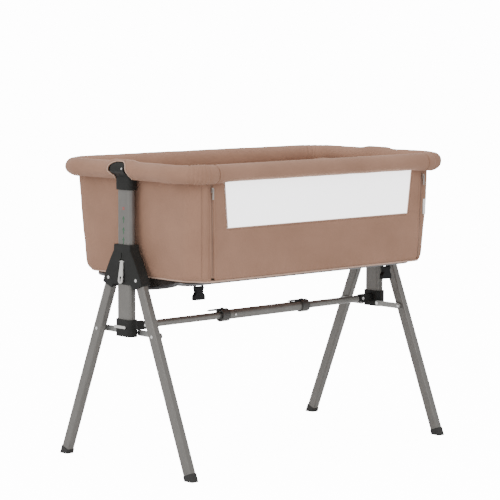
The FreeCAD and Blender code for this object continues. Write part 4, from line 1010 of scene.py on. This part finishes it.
@dataclass
class Basket:
    """The fabric basket: its walls, floor, rolled lower edge and seams."""

    cloth: Material
    trim: Material
    thread: Material
    label: Material
    low: float = 0.4465
    top: float = 0.6722
    hem: float = 0.6850
    wall: float = 0.0058
    opening_low: float = 0.3490
    opening_top: float = 0.3570
    seams: tuple[float, ...] = (0.0085, 0.0225)
    corner_reach: float = 0.022

    def rim_at(self, height: float, start: float = 0.0) -> Rim:
        """The outline of the walls at a height."""
        part = (height - self.low) / (self.top - self.low)
        roll = max(0.0, 1 - (height - self.low) / 0.010)
        inset = 0.009 * (1 - math.sqrt(max(0.0, 1 - roll * roll)))
        return Rim(0.392 + 0.0115 * part - inset, 0.2165 + 0.0045 * part - inset,
                   0.060 - 0.018 * part - inset, start)

    def span(self) -> float:
        """The walls' length from zip to zip, at half their height."""
        half_height, half_opening = 0.56, 0.353
        return Course(self.rim_at(half_height, start=half_opening)).total()

    def corner_draw(self, x: float, y: float, height: float) -> float:
        """How far the walls draw in towards the floor at the basket's four corners."""
        near = ease(abs(x), 0.351, 0.381) * ease(abs(y), 0.145, 0.195)
        reach = self.corner_reach
        rest = max(0.0, 1 - (height - self.low) / reach)
        low_draw = reach * 0.75 * (1 - math.sqrt(max(0.0, 1 - rest * rest)))
        front_draw = 0.0050 * ease(height, 0.58, 0.68) * ease(abs(x), 0.366, 0.398) if y < -0.145 else 0.0
        return near * low_draw + front_draw * ease(-y, 0.145, 0.195)

    def wall_place(self, u: float, v: float) -> Vector:
        """A point of the walls' outer face, from the right zip round the back to the left zip."""
        height = self.low + (self.hem - self.low) * v
        part = (height - self.low) / (self.top - self.low)
        start = self.opening_low + (self.opening_top - self.opening_low) * part
        rim = self.rim_at(height, start=start)
        plain, out = rim.spot(*Course(rim).find(u))
        drawn = plain - out * self.corner_draw(plain.x, plain.y, height)
        return Vector((drawn.x, drawn.y, height))

    def wall_relief(self, u: float, v: float) -> float:
        """How far the walls' cloth stands out: belly, soft folds and seams."""
        point = self.wall_place(u, v)
        length = self.span()
        # the belly is fullest on the long back side
        belly = math.sin(math.pi * min(1.0, v * 1.02)) ** 0.8
        long_side = ease(0.36 - abs(point.x), 0.0, 0.12)
        relief = 0.0022 * belly * (0.35 + 0.65 * long_side)
        relief += 0.0011 * belly * creases(Vector((point.x * 1.6, point.y * 1.6, point.z * 0.8)), 0.075)
        relief += 0.0005 * creases(point, 0.030)
        # two seams beside each zip with a raised strip between them
        from_zip = length * min(u, 1 - u)
        for seam in self.seams:
            relief -= 0.0010 * hill(from_zip - seam, 0.0010)
        relief += 0.0006 * hill(from_zip - 0.0150, 0.0045)
        # small folds where the cloth is sewn in above and below, none behind the posts
        pull = hill(v - 1.0, 0.10)
        relief += 0.0009 * pull * math.sin(u * length / 0.0062 + 3 * creases(point, 0.04))
        low_pull = hill(v, 0.07)
        relief += 0.0004 * low_pull * math.sin(u * length / 0.0085 + 3 * creases(point, 0.05))
        by_post = hill(point.y, 0.040) * ease(abs(point.x), 0.36, 0.385) * ease(point.z, 0.60, 0.65)
        return relief * (1 - by_post) - 0.0006 * by_post

    def build_walls(self) -> Piece:
        """Build the padded walls."""
        length = self.span()
        tall = self.hem - self.low

        def edge(u: float, v: float) -> float:
            """How full the walls are: less towards the zips and towards both long edges."""
            return min(rounding(length * min(u, 1 - u), 0.0018), rounding(tall * min(v, 1 - v), 0.004))

        walls = padded_sheet("basket_walls", 820, 72, self.wall_place, self.wall, (length, tall), edge,
                             self.wall_relief)
        return finish(walls, self.cloth, "mocha_fabric", "basket", "basket_cover")

    def build_floor(self) -> Piece:
        """Build the floor cloth, drawn tight over the base, from a bevelled plane."""
        rise, thick, edge, cut = 0.0012, 0.0026, 0.001, 0.024
        rim = self.rim_at(self.low + rise)
        deselect()
        bpy.ops.mesh.primitive_plane_add(size=2.0, location=(0, 0, self.low + 0.0030))
        floor = bpy.context.object
        floor.name = floor.data.name = "basket_floor"
        floor.scale = (rim.half_length, rim.half_width, 1)
        settle(floor)
        in_edit_mode(
            floor,
            lambda: bpy.ops.mesh.bevel(affect="VERTICES", offset=rim.corner + cut, segments=14),
            lambda: bpy.ops.mesh.inset(thickness=0.012),
            lambda: bpy.ops.mesh.inset(thickness=0.030),
            lambda: bpy.ops.mesh.select_all(action="SELECT"),
            lambda: bpy.ops.mesh.extrude_region_move(TRANSFORM_OT_translate={"value": (0, 0, -thick)}),
        )
        weld(floor)
        apply_modifier(floor, "BEVEL", width=edge, segments=2, limit_method="ANGLE")
        smooth(floor, 40)
        return finish(floor, self.cloth, "mocha_fabric", "basket")

    def build_highlight_roll(self) -> Piece:
        """Build the corded roll all round the basket's lower edge; its lighter trim cloth is a painted
        highlight along that edge.
        """
        count, radius, inside, height = 260, 0.0026, 0.0022, self.low + 0.0028
        rim = self.rim_at(self.low + 0.0040)
        course = Course(Rim(rim.half_length - inside, rim.half_width - inside, rim.corner - 0.002))
        points = []
        for i in range(count):
            point, out = course.at(course.total() * i / count)
            point -= out * self.corner_draw(point.x, point.y, height)
            points.append(point + Vector((0, 0, height)))
        roll = tube_along("basket_lower_highlight_roll", points, radius, closed=True, sides=10)
        # the lighter trim colour paints the highlight along the lower edge
        return finish(roll, self.trim, "mocha_fabric", "basket")

    def on_wall(self, from_zip: float, height: float, right: bool, proud: float = 0.0) -> Spot:
        """A point on the walls' outer face beside a zip, and its outward direction.

        Args:
            from_zip: The distance along the wall from the zip's edge.
            height: The height above the floor.
            right: Whether the right zip is meant.
            proud: How far the point stands out from the cloth.

        Returns:
            The point and the outward direction.
        """
        length = self.span()
        u = from_zip / length if right else 1 - from_zip / length
        v = (height - self.low) / (self.hem - self.low)
        up = outward(self.wall_place, u, v)
        return self.wall_place(u, v) + up * (self.wall_relief(u, v) + proud), up

    def build_stitching(self) -> Piece:
        """Build the stitches along the seams beside both zips."""
        beside, foot, tall, steps = 0.0022, 0.456, 0.214, 40
        rows = []
        for right in (False, True):
            for seam in (self.seams[0] - beside, self.seams[1] + beside):
                line = [self.on_wall(seam, foot + tall * step / steps, right) for step in range(steps + 1)]
                rows.append(stitches(f"wall_stitches_{right}_{seam}", line))
        rows = join("basket_wall_stitches", rows)
        return finish(rows, self.thread, "mocha_fabric", "basket")

    def build_label(self) -> Piece:
        """Build the blank sewn label near the right zip."""
        wide, tall, from_zip, foot = 0.014, 0.038, 0.0040, 0.5640

        def place(across: float, up: float) -> Vector:
            """A point of the label, which hangs away from the wall at its foot."""
            lift = 0.0006 + 0.0016 * (1 - up) ** 2 + 0.0006 * math.sin(across * 2.6)
            return self.on_wall(from_zip + wide * across, foot + tall * up, True, lift)[0]

        label = thin_sheet("blank_side_label", 8, 20, (wide, tall), place, 0.0004)
        return finish(label, self.label, "window_mesh", "basket")

    def build(self) -> list[Piece]:
        """Build all of the basket."""
        return [self.build_walls(), self.build_floor(), self.build_highlight_roll(), self.build_stitching(),
                self.build_label()]


# ------------------------------------------------------------------ the drop side

@dataclass
class DropSide:
    """The folding side: the padded panel round the window, and the mesh in it."""

    cloth: Material
    trim: Material
    mesh: Material
    thread: Material
    low: float = 0.4515
    top: float = 0.6790
    half_low: float = 0.3433
    half_top: float = 0.3513
    window_low: float = 0.3035
    window_top: float = 0.3145
    sill: float = 0.5690
    wall: float = 0.0058
    corner: float = 0.014
    roundness: float = 0.6
    lean_height: float = 0.2207
    window_tall: float = 0.1037
    split: float = 0.3

    def half(self, height: float) -> float:
        """The panel's half length at a height."""
        rest = max(0.0, 1 - (height - self.low) / self.corner)
        rounded = self.corner * self.roundness * (1 - math.sqrt(max(0.0, 1 - rest * rest)))
        part = (height - self.low) / self.lean_height
        return self.half_low + (self.half_top - self.half_low) * part - rounded

    def window_half(self, height: float) -> float:
        """The window's half length at a height."""
        part = (height - self.sill) / self.window_tall
        return self.window_low + (self.window_top - self.window_low) * part

    def place(self, u: float, v: float) -> Vector:
        """A point of the panel's outer face; u within the split lies between the window's sides."""
        split = self.split
        height = self.low + (self.sill - self.low) * v / 0.5 if v < 0.5 else \
            self.sill + (self.top - self.sill) * (v - 0.5) / 0.5
        edge, inner = self.half(height), self.window_half(max(height, self.sill))
        inner = inner if height >= self.sill else self.window_low
        side = u - 0.5
        if abs(side) <= split:
            x = side / split * inner
        else:
            x = math.copysign(inner + (edge - inner) * (abs(side) - split) / (0.5 - split), side)
        return Vector((x, front_face(height), height))

    def edge(self, u: float, v: float) -> float:
        """How full the panel is at a point."""
        outer_soft, window_soft, corner_reach, hair = 0.0018, 0.003, 0.004, 1e-5
        point = self.place(u, v)
        across = abs(point.x)
        outer = min(self.half(point.z) - across, point.z - self.low, self.top - point.z)
        if point.z >= self.sill - hair:
            from_window = across - self.window_half(point.z)
        elif across > self.window_low + corner_reach:
            from_window = window_soft
        else:
            from_window = math.hypot(max(0.0, across - self.window_low), self.sill - point.z)
        return min(rounding(outer, outer_soft), rounding(from_window, window_soft))

    def relief(self, u: float, v: float) -> float:
        """How far the panel's cloth stands out: belly, folds, stitch lines."""
        point = self.place(u, v)
        low_part = ease(self.sill - point.z, 0.0, 0.03)
        belly = math.sin(math.pi * min(1.0, max(0.0, (point.z - self.low) / (self.sill - self.low)))) \
            if point.z < self.sill else 0.0
        relief = 0.0020 * belly * low_part
        relief += 0.0010 * creases(Vector((point.x * 1.3, 0.3, point.z)), 0.085) * (0.3 + belly)
        relief += 0.0004 * creases(point, 0.028)
        from_edge = self.half(point.z) - abs(point.x)
        relief -= 0.0008 * hill(from_edge - 0.0060, 0.0009)
        if abs(point.x) > self.window_low:
            relief -= 0.0008 * hill(point.z - self.sill - 0.0005, 0.0010)
        relief += 0.0005 * hill(point.z - self.low, 0.015) * math.sin(point.x / 0.0031)
        return relief

    def build_panel(self) -> Piece:
        """Build the padded panel, open where the window is."""
        panel = padded_sheet(
            "drop_side_panel", 380, 92, self.place, self.wall, (0.70, 0.22), self.edge, self.relief,
            keep=lambda u, v: not (abs(u - 0.5) < self.split and v > 0.5))
        return finish(panel, self.cloth, "mocha_fabric", "drop_side", "drop_panel")

    def window_place(self, u: float, v: float) -> Vector:
        """A point of the mesh, set back from the panel's face and tucked under its edges."""
        tuck, inside = 0.003, 0.0025
        height = self.sill - tuck + (self.top - self.sill + 0.002) * v
        half = self.window_half(height) + inside
        x = (u * 2 - 1) * half
        slack = 0.0010 * creases(Vector((x, 1.7, height)), 0.09)
        return Vector((x, front_face(height) + 0.0022 + slack, height))

    def build_window(self) -> Piece:
        """Build the mesh as one fine sheet."""
        window = thin_sheet("mesh_window_cloth", 160, 28, (0.634, 0.112), self.window_place, 0.0009, -1)
        return finish(window, self.mesh, "window_mesh", "drop_side", "mesh_window")

    def build_binding(self) -> Piece:
        """Build the narrow bound edge round the window."""
        below, inside, sunk, steps = 0.002, 0.0004, 0.0006, 24
        heights = [self.top - below - (self.top - self.sill - below) * i / steps for i in range(steps + 1)]
        left = [Vector((-self.window_half(z) + inside, front_face(z) + sunk, z)) for z in heights]
        across = [Vector((self.window_low * (i / 30 - 1), front_face(self.sill) + sunk, self.sill))
                  for i in range(1, 60)]
        right = [Vector((-point.x, point.y, point.z)) for point in reversed(left)]
        binding = tube_along("window_binding", left + across + right, 0.0011)
        return finish(binding, self.trim, "mocha_fabric", "drop_side")

    def on_panel(self, x: float, height: float) -> Spot:
        """A point on the panel's outer face and its outward direction."""
        return Vector((x, front_face(height) + 0.0002, height)), Vector((0, -1, 0))

    def build_stitching(self) -> Piece:
        """Build the stitches along the panel's sides and below the window."""
        rows = []
        for side in (-1, 1):
            edge = [0.457 + 0.212 * step / 30 for step in range(31)]
            window = [self.sill + 0.098 * step / 20 for step in range(21)]
            corner = [0.308 + 0.030 * step / 6 for step in range(7)]
            lines = {
                "panel": [self.on_panel(side * (self.half(z) - 0.0085), z) for z in edge],
                "window": [self.on_panel(side * (self.window_half(z) + 0.0035), z) for z in window],
                "corner": [self.on_panel(side * x, self.sill + 0.0045) for x in corner]}
            rows += [stitches(f"{name}_stitches_{side}", line) for name, line in lines.items()]
        sill = [0.300 * (step / 20 - 1) for step in range(41)]
        rows.append(stitches("sill_stitches", [self.on_panel(x, self.sill - 0.0040) for x in sill]))
        rows = join("drop_side_stitches", rows)
        return finish(rows, self.thread, "mocha_fabric", "drop_side")

    def build(self) -> list[Piece]:
        """Build all of the drop side."""
        return [self.build_panel(), self.build_window(), self.build_binding(), self.build_stitching()]


# ------------------------------------------------------------------ zips, straps, mattress and marks

@dataclass
class Zips:
    """The two long zips that join the drop side to the basket: tapes and coils of teeth."""

    tape: Material
    teeth: Material
    low: float = 0.4580
    high: float = 0.6690
    tape_high: float = 0.6731
    pitch: float = 0.0020
    tooth: tuple[float, float, float] = (0.0019, 0.0011, 0.0010)
    width: float = 0.0048

    def middle(self, height: float) -> float:
        """The x of a zip's middle at a height."""
        foot, foot_height, lean = 0.34615, 0.4515, 0.0080 / 0.2207
        return foot + lean * (height - foot_height)

    def build_tape(self, name: str, side: int, own: int) -> Piece:
        """Build one of a zip's two tapes, which carry its rows of teeth.

        Args:
            name: Which zip.
            side: -1 for the left zip, 1 for the right one.
            own: 1 for the basket's tape, 0 for the drop side's.

        Returns:
            The tape.
        """
        out, tall, from_middle, sunk = side if own else -side, self.tape_high - self.low, 0.0001, 0.0016

        def place(across: float, up: float) -> Vector:
            """A point of the tape, from the zip's middle outwards."""
            height = self.low + tall * up
            x = side * self.middle(height) + out * (from_middle + self.width * across)
            return Vector((x, front_face(height) + sunk, height))

        tape = thin_sheet(f"zip_tape_{name}_{'basket' if own else 'side'}", 4, 72, (self.width, tall), place,
                          0.0008)
        if own:
            return finish(tape, self.tape, "zip_tape", "basket", "zip_tapes")
        return finish(tape, self.tape, "zip_tape", "drop_side")

    def build_teeth(self, name: str, side: int, own: int) -> Piece:
        """Build one row of teeth from a bevelled block, repeated up the tape.

        Args:
            name: Which zip.
            side: -1 for the left zip, 1 for the right one.
            own: 1 for the basket's row, 0 for the drop side's.

        Returns:
            The row of teeth.
        """
        deselect()
        bpy.ops.mesh.primitive_cube_add(size=1.0, location=(0, 0, 0))
        row = bpy.context.object
        row.name = row.data.name = f"zip_teeth_{name}_{'basket' if own else 'side'}"
        row.scale = self.tooth
        settle(row)
        in_edit_mode(row, lambda: bpy.ops.mesh.bevel(offset=0.00025, segments=1, affect="EDGES"))
        count = int((self.high - self.low) / self.pitch)
        apply_modifier(row, "ARRAY", count=count, use_relative_offset=False, use_constant_offset=True,
                       constant_offset_displace=(0, 0, self.pitch))
        out = side if own else -side
        for vertex in row.data.vertices:
            height = vertex.co.z + self.low + self.pitch * (0.5 if own else 1.0)
            x = vertex.co.x + side * self.middle(height) + out * 0.00075
            vertex.co = Vector((x, vertex.co.y + front_face(height) + 0.0008, height))
        return finish(row, self.teeth, "zip_tape", "basket" if own else "drop_side")

    def build(self) -> list[Piece]:
        """Build both zips."""
        pieces = []
        for name, side in (("left", -1), ("right", 1)):
            for own in (0, 1):
                pieces += [self.build_tape(name, side, own), self.build_teeth(name, side, own)]
        return pieces


@dataclass
class BuckleStraps:
    """The webbing loops that hold the buckles under the basket."""

    webbing: Material
    place: float = 0.317
    front: float = 0.135
    pivot: float = 0.436
    top: float = 0.4463
    loop: float = 0.0036
    width: float = 0.0184
    flare: float = 0.74

    def outline(self, part: float) -> tuple[float, float]:
        """A point of the loop's middle line, from 0 at its front top to 1 at its back top."""
        straight, turn = self.top - self.pivot, math.pi * self.loop
        at = part * (2 * straight + turn)
        if at < straight:
            return -self.loop, self.top - at
        if at > straight + turn:
            return self.loop, self.pivot + at - straight - turn
        angle = (at - straight) / self.loop
        return -self.loop * math.cos(angle), self.pivot - self.loop * math.sin(angle)

    def build_loop(self, name: str, side: int) -> Piece:
        """Build one loop of webbing round its buckle's bar."""
        length = 2 * (self.top - self.pivot) + math.pi * self.loop

        def place(across: float, part: float) -> Vector:
            """A point of the strap, which is wider above the buckle's arms."""
            y, z = self.outline(part)
            wider = 1 + self.flare * ease(z, self.pivot + 0.0042, self.pivot + 0.0078)
            return Vector((side * self.place + (across - 0.5) * self.width * wider, -self.front + y, z))

        strap = thin_sheet(f"buckle_strap_{name}", 14, 48, (self.width, length), place, 0.0011)
        return finish(strap, self.webbing, "plastic_black", "basket", "buckle_straps")

    def build(self) -> list[Piece]:
        """Build both loops."""
        return [self.build_loop("left", -1), self.build_loop("right", 1)]


@dataclass
class RunnerSleeves:
    """Cloth sleeves between the basket's floor and the two bowed end bars of the base frame, near-black as
    painted shade under the floor.
    """

    cloth: Material
    place: float = 0.378
    reach: float = 0.137
    top: float = 0.4470
    tube: float = 0.4408
    sag: float = 0.021
    bow: tuple[tuple[float, float], ...] = (
        (0.0, 0.0), (0.04, 0.08), (0.12, 0.37), (0.245, 0.66), (0.38, 0.89), (0.5, 1.0), (0.62, 0.89),
        (0.755, 0.66), (0.88, 0.37), (0.96, 0.08), (1.0, 0.0))

    def build_sleeve(self, name: str, side: int) -> Piece:
        """Build one sleeve from a grid between its bar and the floor.

        Args:
            name: Which end of the crib.
            side: -1 for the left end, 1 for the right one.

        Returns:
            The sleeve.
        """
        above_middle, least = 0.0030, 0.001

        def place(part: float, up: float) -> Vector:
            """A point between the bar's upper side and the floor, with small folds."""
            low = self.tube - self.sag * reading(self.bow, part) + above_middle
            high = max(self.top, low + least)
            fold = 0.0007 * math.sin(up * math.pi) * math.sin(part * 70 + 3 * up)
            return Vector((side * (self.place + fold), -self.reach * (1 - 2 * part), low + (high - low) * up))

        sleeve = thin_sheet(f"runner_sleeve_{name}", 96, 8, (2 * self.reach, 0.024), place, 0.0050)
        return finish(sleeve, self.cloth, "mocha_fabric", "basket")

    def build(self) -> list[Piece]:
        """Build both sleeves."""
        return [self.build_sleeve("left", -1), self.build_sleeve("right", 1)]


@dataclass
class MattressPad:
    """The thin mattress: a filled pad with corded edges."""

    ticking: Material
    trim: Material
    length: float = 0.385
    width: float = 0.2085
    corner: float = 0.046
    low: float = 0.4596
    thick: float = 0.0420
    channels: tuple[float, float] = (0.125, 0.250)

    def build_pad(self) -> Piece:
        """Build the pad from a block with rounded corners, filled by a short cloth simulation."""
        deselect()
        shrink, flatter = 0.004, 0.002
        middle = self.low + self.thick / 2
        bpy.ops.mesh.primitive_cube_add(size=2.0, location=(0, 0, middle))
        pad = bpy.context.object
        pad.name = pad.data.name = "mattress_pad"
        pad.scale = (self.length - shrink, self.width - shrink, self.thick / 2 - flatter)
        settle(pad)
        bpy.ops.object.mode_set(mode="EDIT")
        bpy.ops.mesh.select_mode(type="EDGE")
        bpy.ops.mesh.select_all(action="DESELECT")
        bpy.ops.object.mode_set(mode="OBJECT")
        for edge in pad.data.edges:
            first, last = (pad.data.vertices[i].co for i in edge.vertices)
            edge.select = first.z != last.z
        bpy.ops.object.mode_set(mode="EDIT")
        bpy.ops.mesh.bevel(offset=self.corner - shrink, segments=12, affect="EDGES")
        bpy.ops.object.mode_set(mode="OBJECT")
        apply_modifier(pad, "BEVEL", width=0.008, segments=3, limit_method="ANGLE",
                       angle_limit=math.radians(60))
        swell(pad, voxel=0.006, pressure=4.0, cap=0.006)
        for vertex in pad.data.vertices:
            self.press(vertex)
        smooth(pad)
        return finish(pad, self.ticking, "mattress_fabric", "mattress", "mattress")

    def press(self, vertex: bpy.types.MeshVertex) -> None:
        """Hold a point inside the basket, flat on the board, and draw in the tufting's channels."""
        point = vertex.co
        limit, skin, crown = self.low + self.thick, 0.012, 0.004
        if point.z > limit - skin:
            inner = min(self.length - abs(point.x), self.width - abs(point.y))
            rows = sum(hill(abs(point.x) - row, 0.006) for row in self.channels)
            point.z -= 0.0022 * rows * ease(inner, 0.01, 0.05)
            point.z += 0.0008 * creases(point, 0.09)
        point.z = min(max(point.z, self.low), limit + crown)
        point.x = min(max(point.x, -self.length), self.length)
        point.y = min(max(point.y, -self.width), self.width)

    def build_cording(self) -> Piece:
        """Build the cords round the pad's upper and lower edges."""
        inside, edge, radius, count = 0.0030, 0.0060, 0.0018, 240
        course = Course(Rim(self.length - inside, self.width - inside, self.corner - inside))
        cords = []
        for number, height in enumerate((self.low + edge, self.low + self.thick - edge)):
            points = [course.at(course.total() * i / count)[0] + Vector((0, 0, height)) for i in range(count)]
            cords.append(tube_along(f"cording_{number}", points, radius, closed=True))
        cording = join("mattress_cording", cords)
        return finish(cording, self.trim, "mattress_fabric", "mattress")

    def build(self) -> list[Piece]:
        """Build all of the mattress."""
        return [self.build_pad(), self.build_cording()]


@dataclass
class HeightMarks:
    """The printed height marks on the upper posts: two bars over three plain arrows."""

    red: Material
    green: Material
    face: float = 0.4300
    across: float = -0.0010
    bars: tuple[float, ...] = (0.6095, 0.6060)
    arrows: tuple[float, ...] = (0.5815, 0.5560, 0.5330)
    bar: tuple[tuple[float, float], ...] = (
        (-0.0036, -0.0012), (0.0036, -0.0012), (0.0036, 0.0012), (-0.0036, 0.0012))
    arrow: tuple[tuple[float, float], ...] = (
        (0, 0.0090), (-0.0048, 0.0005), (-0.0030, 0.0005), (-0.0015, 0.0040), (-0.0011, -0.0080),
        (0.0011, -0.0080), (0.0015, 0.0040), (0.0030, 0.0005), (0.0048, 0.0005))

    def plate(self, name: str, corners: Sequence[tuple[float, float]], side: int) -> Piece:
        """A thin raised print of an outline on a post's outer face.

        Args:
            name: The print's name.
            corners: The outline's y and z.
            side: -1 for the left post, 1 for the right one.

        Returns:
            The print, 0.15 mm proud of the post.
        """
        deselect()
        bpy.ops.mesh.primitive_circle_add(vertices=len(corners), radius=1.0, fill_type="NGON")
        piece = bpy.context.object
        piece.name = piece.data.name = name
        for vertex, (y, z) in zip(piece.data.vertices, corners):
            vertex.co = Vector((side * (self.face + 0.00015), side * -y, z))
        in_edit_mode(piece, lambda: bpy.ops.mesh.extrude_region_move(
            TRANSFORM_OT_translate={"value": (-side * 0.0004, 0, 0)}))
        weld(piece)
        return piece

    def build(self) -> list[Piece]:
        """Build both posts' marks."""
        pieces = []
        for label, side in (("left", -1), ("right", 1)):
            for name, shape, heights, material in (("bars", self.bar, self.bars, self.red),
                                                   ("arrows", self.arrow, self.arrows, self.green)):
                parts = [self.plate(name[:-1], [(self.across + y, z + rise) for y, rise in shape], side)
                         for z in heights]
                piece = join(f"post_{name}_{label}", parts)
                pieces.append(finish(piece, material, "frame_grey", "basket"))
        return pieces


# ------------------------------------------------------------------ camera, light and floor

@dataclass(frozen=True)
class Studio:
    """The camera at the photograph's angle, soft light and a pale floor."""

    eye: tuple[float, float, float] = (-3.635, -3.798, 1.032)
    turn: float = math.radians(-43.546)
    rise: float = math.radians(5.979)
    roll: float = math.radians(0.244)
    focal_pixels: float = 2153.5
    frame_pixels: float = 500.0
    fill: float = 1.0
    white: float = 14.0
    aim: tuple[float, float, float] = (0.0, 0.0, 0.45)
    lamps: tuple[tuple[str, tuple[float, float, float], float, float], ...] = (
        ("key_light", (-1.4, -3.4, 3.4), 70.0, 2.6),
        ("end_light", (-4.2, 0.6, 2.2), 60.0, 2.4),
        ("top_light", (0.4, 0.6, 4.2), 50.0, 3.0))

    def camera(self) -> None:
        """Set up the camera from its solved place and angles."""
        back = Vector((math.sin(self.turn) * math.cos(self.rise), -math.cos(self.turn) * math.cos(self.rise),
                       math.sin(self.rise)))
        right = Vector((0, 0, 1)).cross(back).normalized()
        up = back.cross(right)
        level_right = right * math.cos(self.roll) + up * math.sin(self.roll)
        level_up = up * math.cos(self.roll) - right * math.sin(self.roll)
        turn = Matrix((level_right, level_up, back)).transposed().to_4x4()
        deselect()
        bpy.ops.object.camera_add()
        camera = bpy.context.object
        camera.name = "camera"
        camera.data.sensor_width = 36.0
        camera.data.lens = self.focal_pixels * 36.0 / self.frame_pixels
        camera.data.clip_end = 100
        camera.matrix_world = Matrix.Translation(Vector(self.eye)) @ turn
        bpy.context.scene.camera = camera

    def light(self, name: str, place: Vector, power: float, size: float) -> None:
        """Add a square soft light that looks at the crib."""
        deselect()
        bpy.ops.object.light_add(type="AREA", location=place)
        lamp = bpy.context.object
        lamp.name = name
        lamp.data.energy = power
        lamp.data.size = size
        lamp.rotation_euler = (Vector(self.aim) - place).to_track_quat("-Z", "Y").to_euler()

    def build(self) -> None:
        """Build the camera, the lights, the world and the floor."""
        self.camera()
        for name, place, power, size in self.lamps:
            self.light(name, Vector(place), power, size)
        world = bpy.data.worlds.new("studio")
        world.use_nodes = True
        paint = Paint(world.node_tree)
        ray = paint.add("ShaderNodeLightPath")
        strength = paint.add("ShaderNodeMapRange", {"Value": ray.outputs["Is Camera Ray"],
                                                    "To Min": self.fill, "To Max": self.white})
        glow = paint.add("ShaderNodeBackground", {"Color": (1, 1, 1, 1), "Strength": strength.outputs[0]})
        paint.add("ShaderNodeOutputWorld", {"Surface": glow.outputs[0]})
        bpy.context.scene.world = world
        deselect()
        bpy.ops.mesh.primitive_plane_add(size=60)
        floor = bpy.context.object
        floor.name = floor.data.name = "studio_floor"
        material = bpy.data.materials.new("studio_floor_paint")
        material.use_nodes = True
        paint = Paint(material.node_tree)
        ray = paint.add("ShaderNodeLightPath")
        glow = paint.sums("MULTIPLY", ray.outputs["Is Camera Ray"], self.white - self.fill)
        shader = paint.add("ShaderNodeBsdfPrincipled", {
            "Base Color": (0.92, 0.92, 0.92, 1), "Roughness": 0.9, "Emission Color": (1, 1, 1, 1),
            "Emission Strength": glow})
        paint.add("ShaderNodeOutputMaterial", {"Surface": shader.outputs[0]})
        dress(floor, material)


# ------------------------------------------------------------------ hard finishes on the frame's nodes

def dress_nodes(groups: Groups) -> dict[str, Material]:
    """Give every hard node of the frame its finish.

    Args:
        groups: The shared shader groups.

    Returns:
        The materials by slot.
    """
    made = {slot: finish.build(groups) for slot, finish in HARD_FINISHES.items()}
    for part in frame["record"]["subparts"]:
        slot = "zip_metal" if part["node"].startswith("zip_slider") else part["material_slot"]
        if slot in made:
            node = frame["nodes"][part["node"]]
            node.data.materials.clear()
            node.data.materials.append(made[slot])
    return made


def write_size() -> None:
    """Bring the view layer up to date."""
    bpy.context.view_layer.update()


def main() -> None:
    """Build the crib's looks, piece by piece."""
    logging.basicConfig(level=logging.INFO, format="%(name)s: %(message)s")
    groups = Groups()
    mocha, trim, thread = (finish.build(groups) for finish in (MOCHA, MOCHA_TRIM_AND_HIGHLIGHT, MOCHA_THREAD))
    Studio().build()
    dress_nodes(groups)
    assemblies = [
        RailCovers(mocha, trim, thread),
        Basket(mocha, trim, thread, LABEL.build(groups)),
        DropSide(mocha, trim, MESH.build(groups), thread),
        Zips(TAPE.build(groups), TEETH.build(groups)),
        BuckleStraps(WEBBING.build(groups)),
        RunnerSleeves(RUNNER_SHADE_CLOTH.build(groups)),
        MattressPad(TICKING.build(groups), TICKING_CORD.build(groups)),
        HeightMarks(RED_PRINT.build(groups), GREEN_PRINT.build(groups)),
    ]
    for assembly in assemblies:
        for piece in assembly.build():
            log.info("%s: %d faces", piece.name, len(piece.data.polygons))
    write_size()


if __name__ == "__main__":
    main()
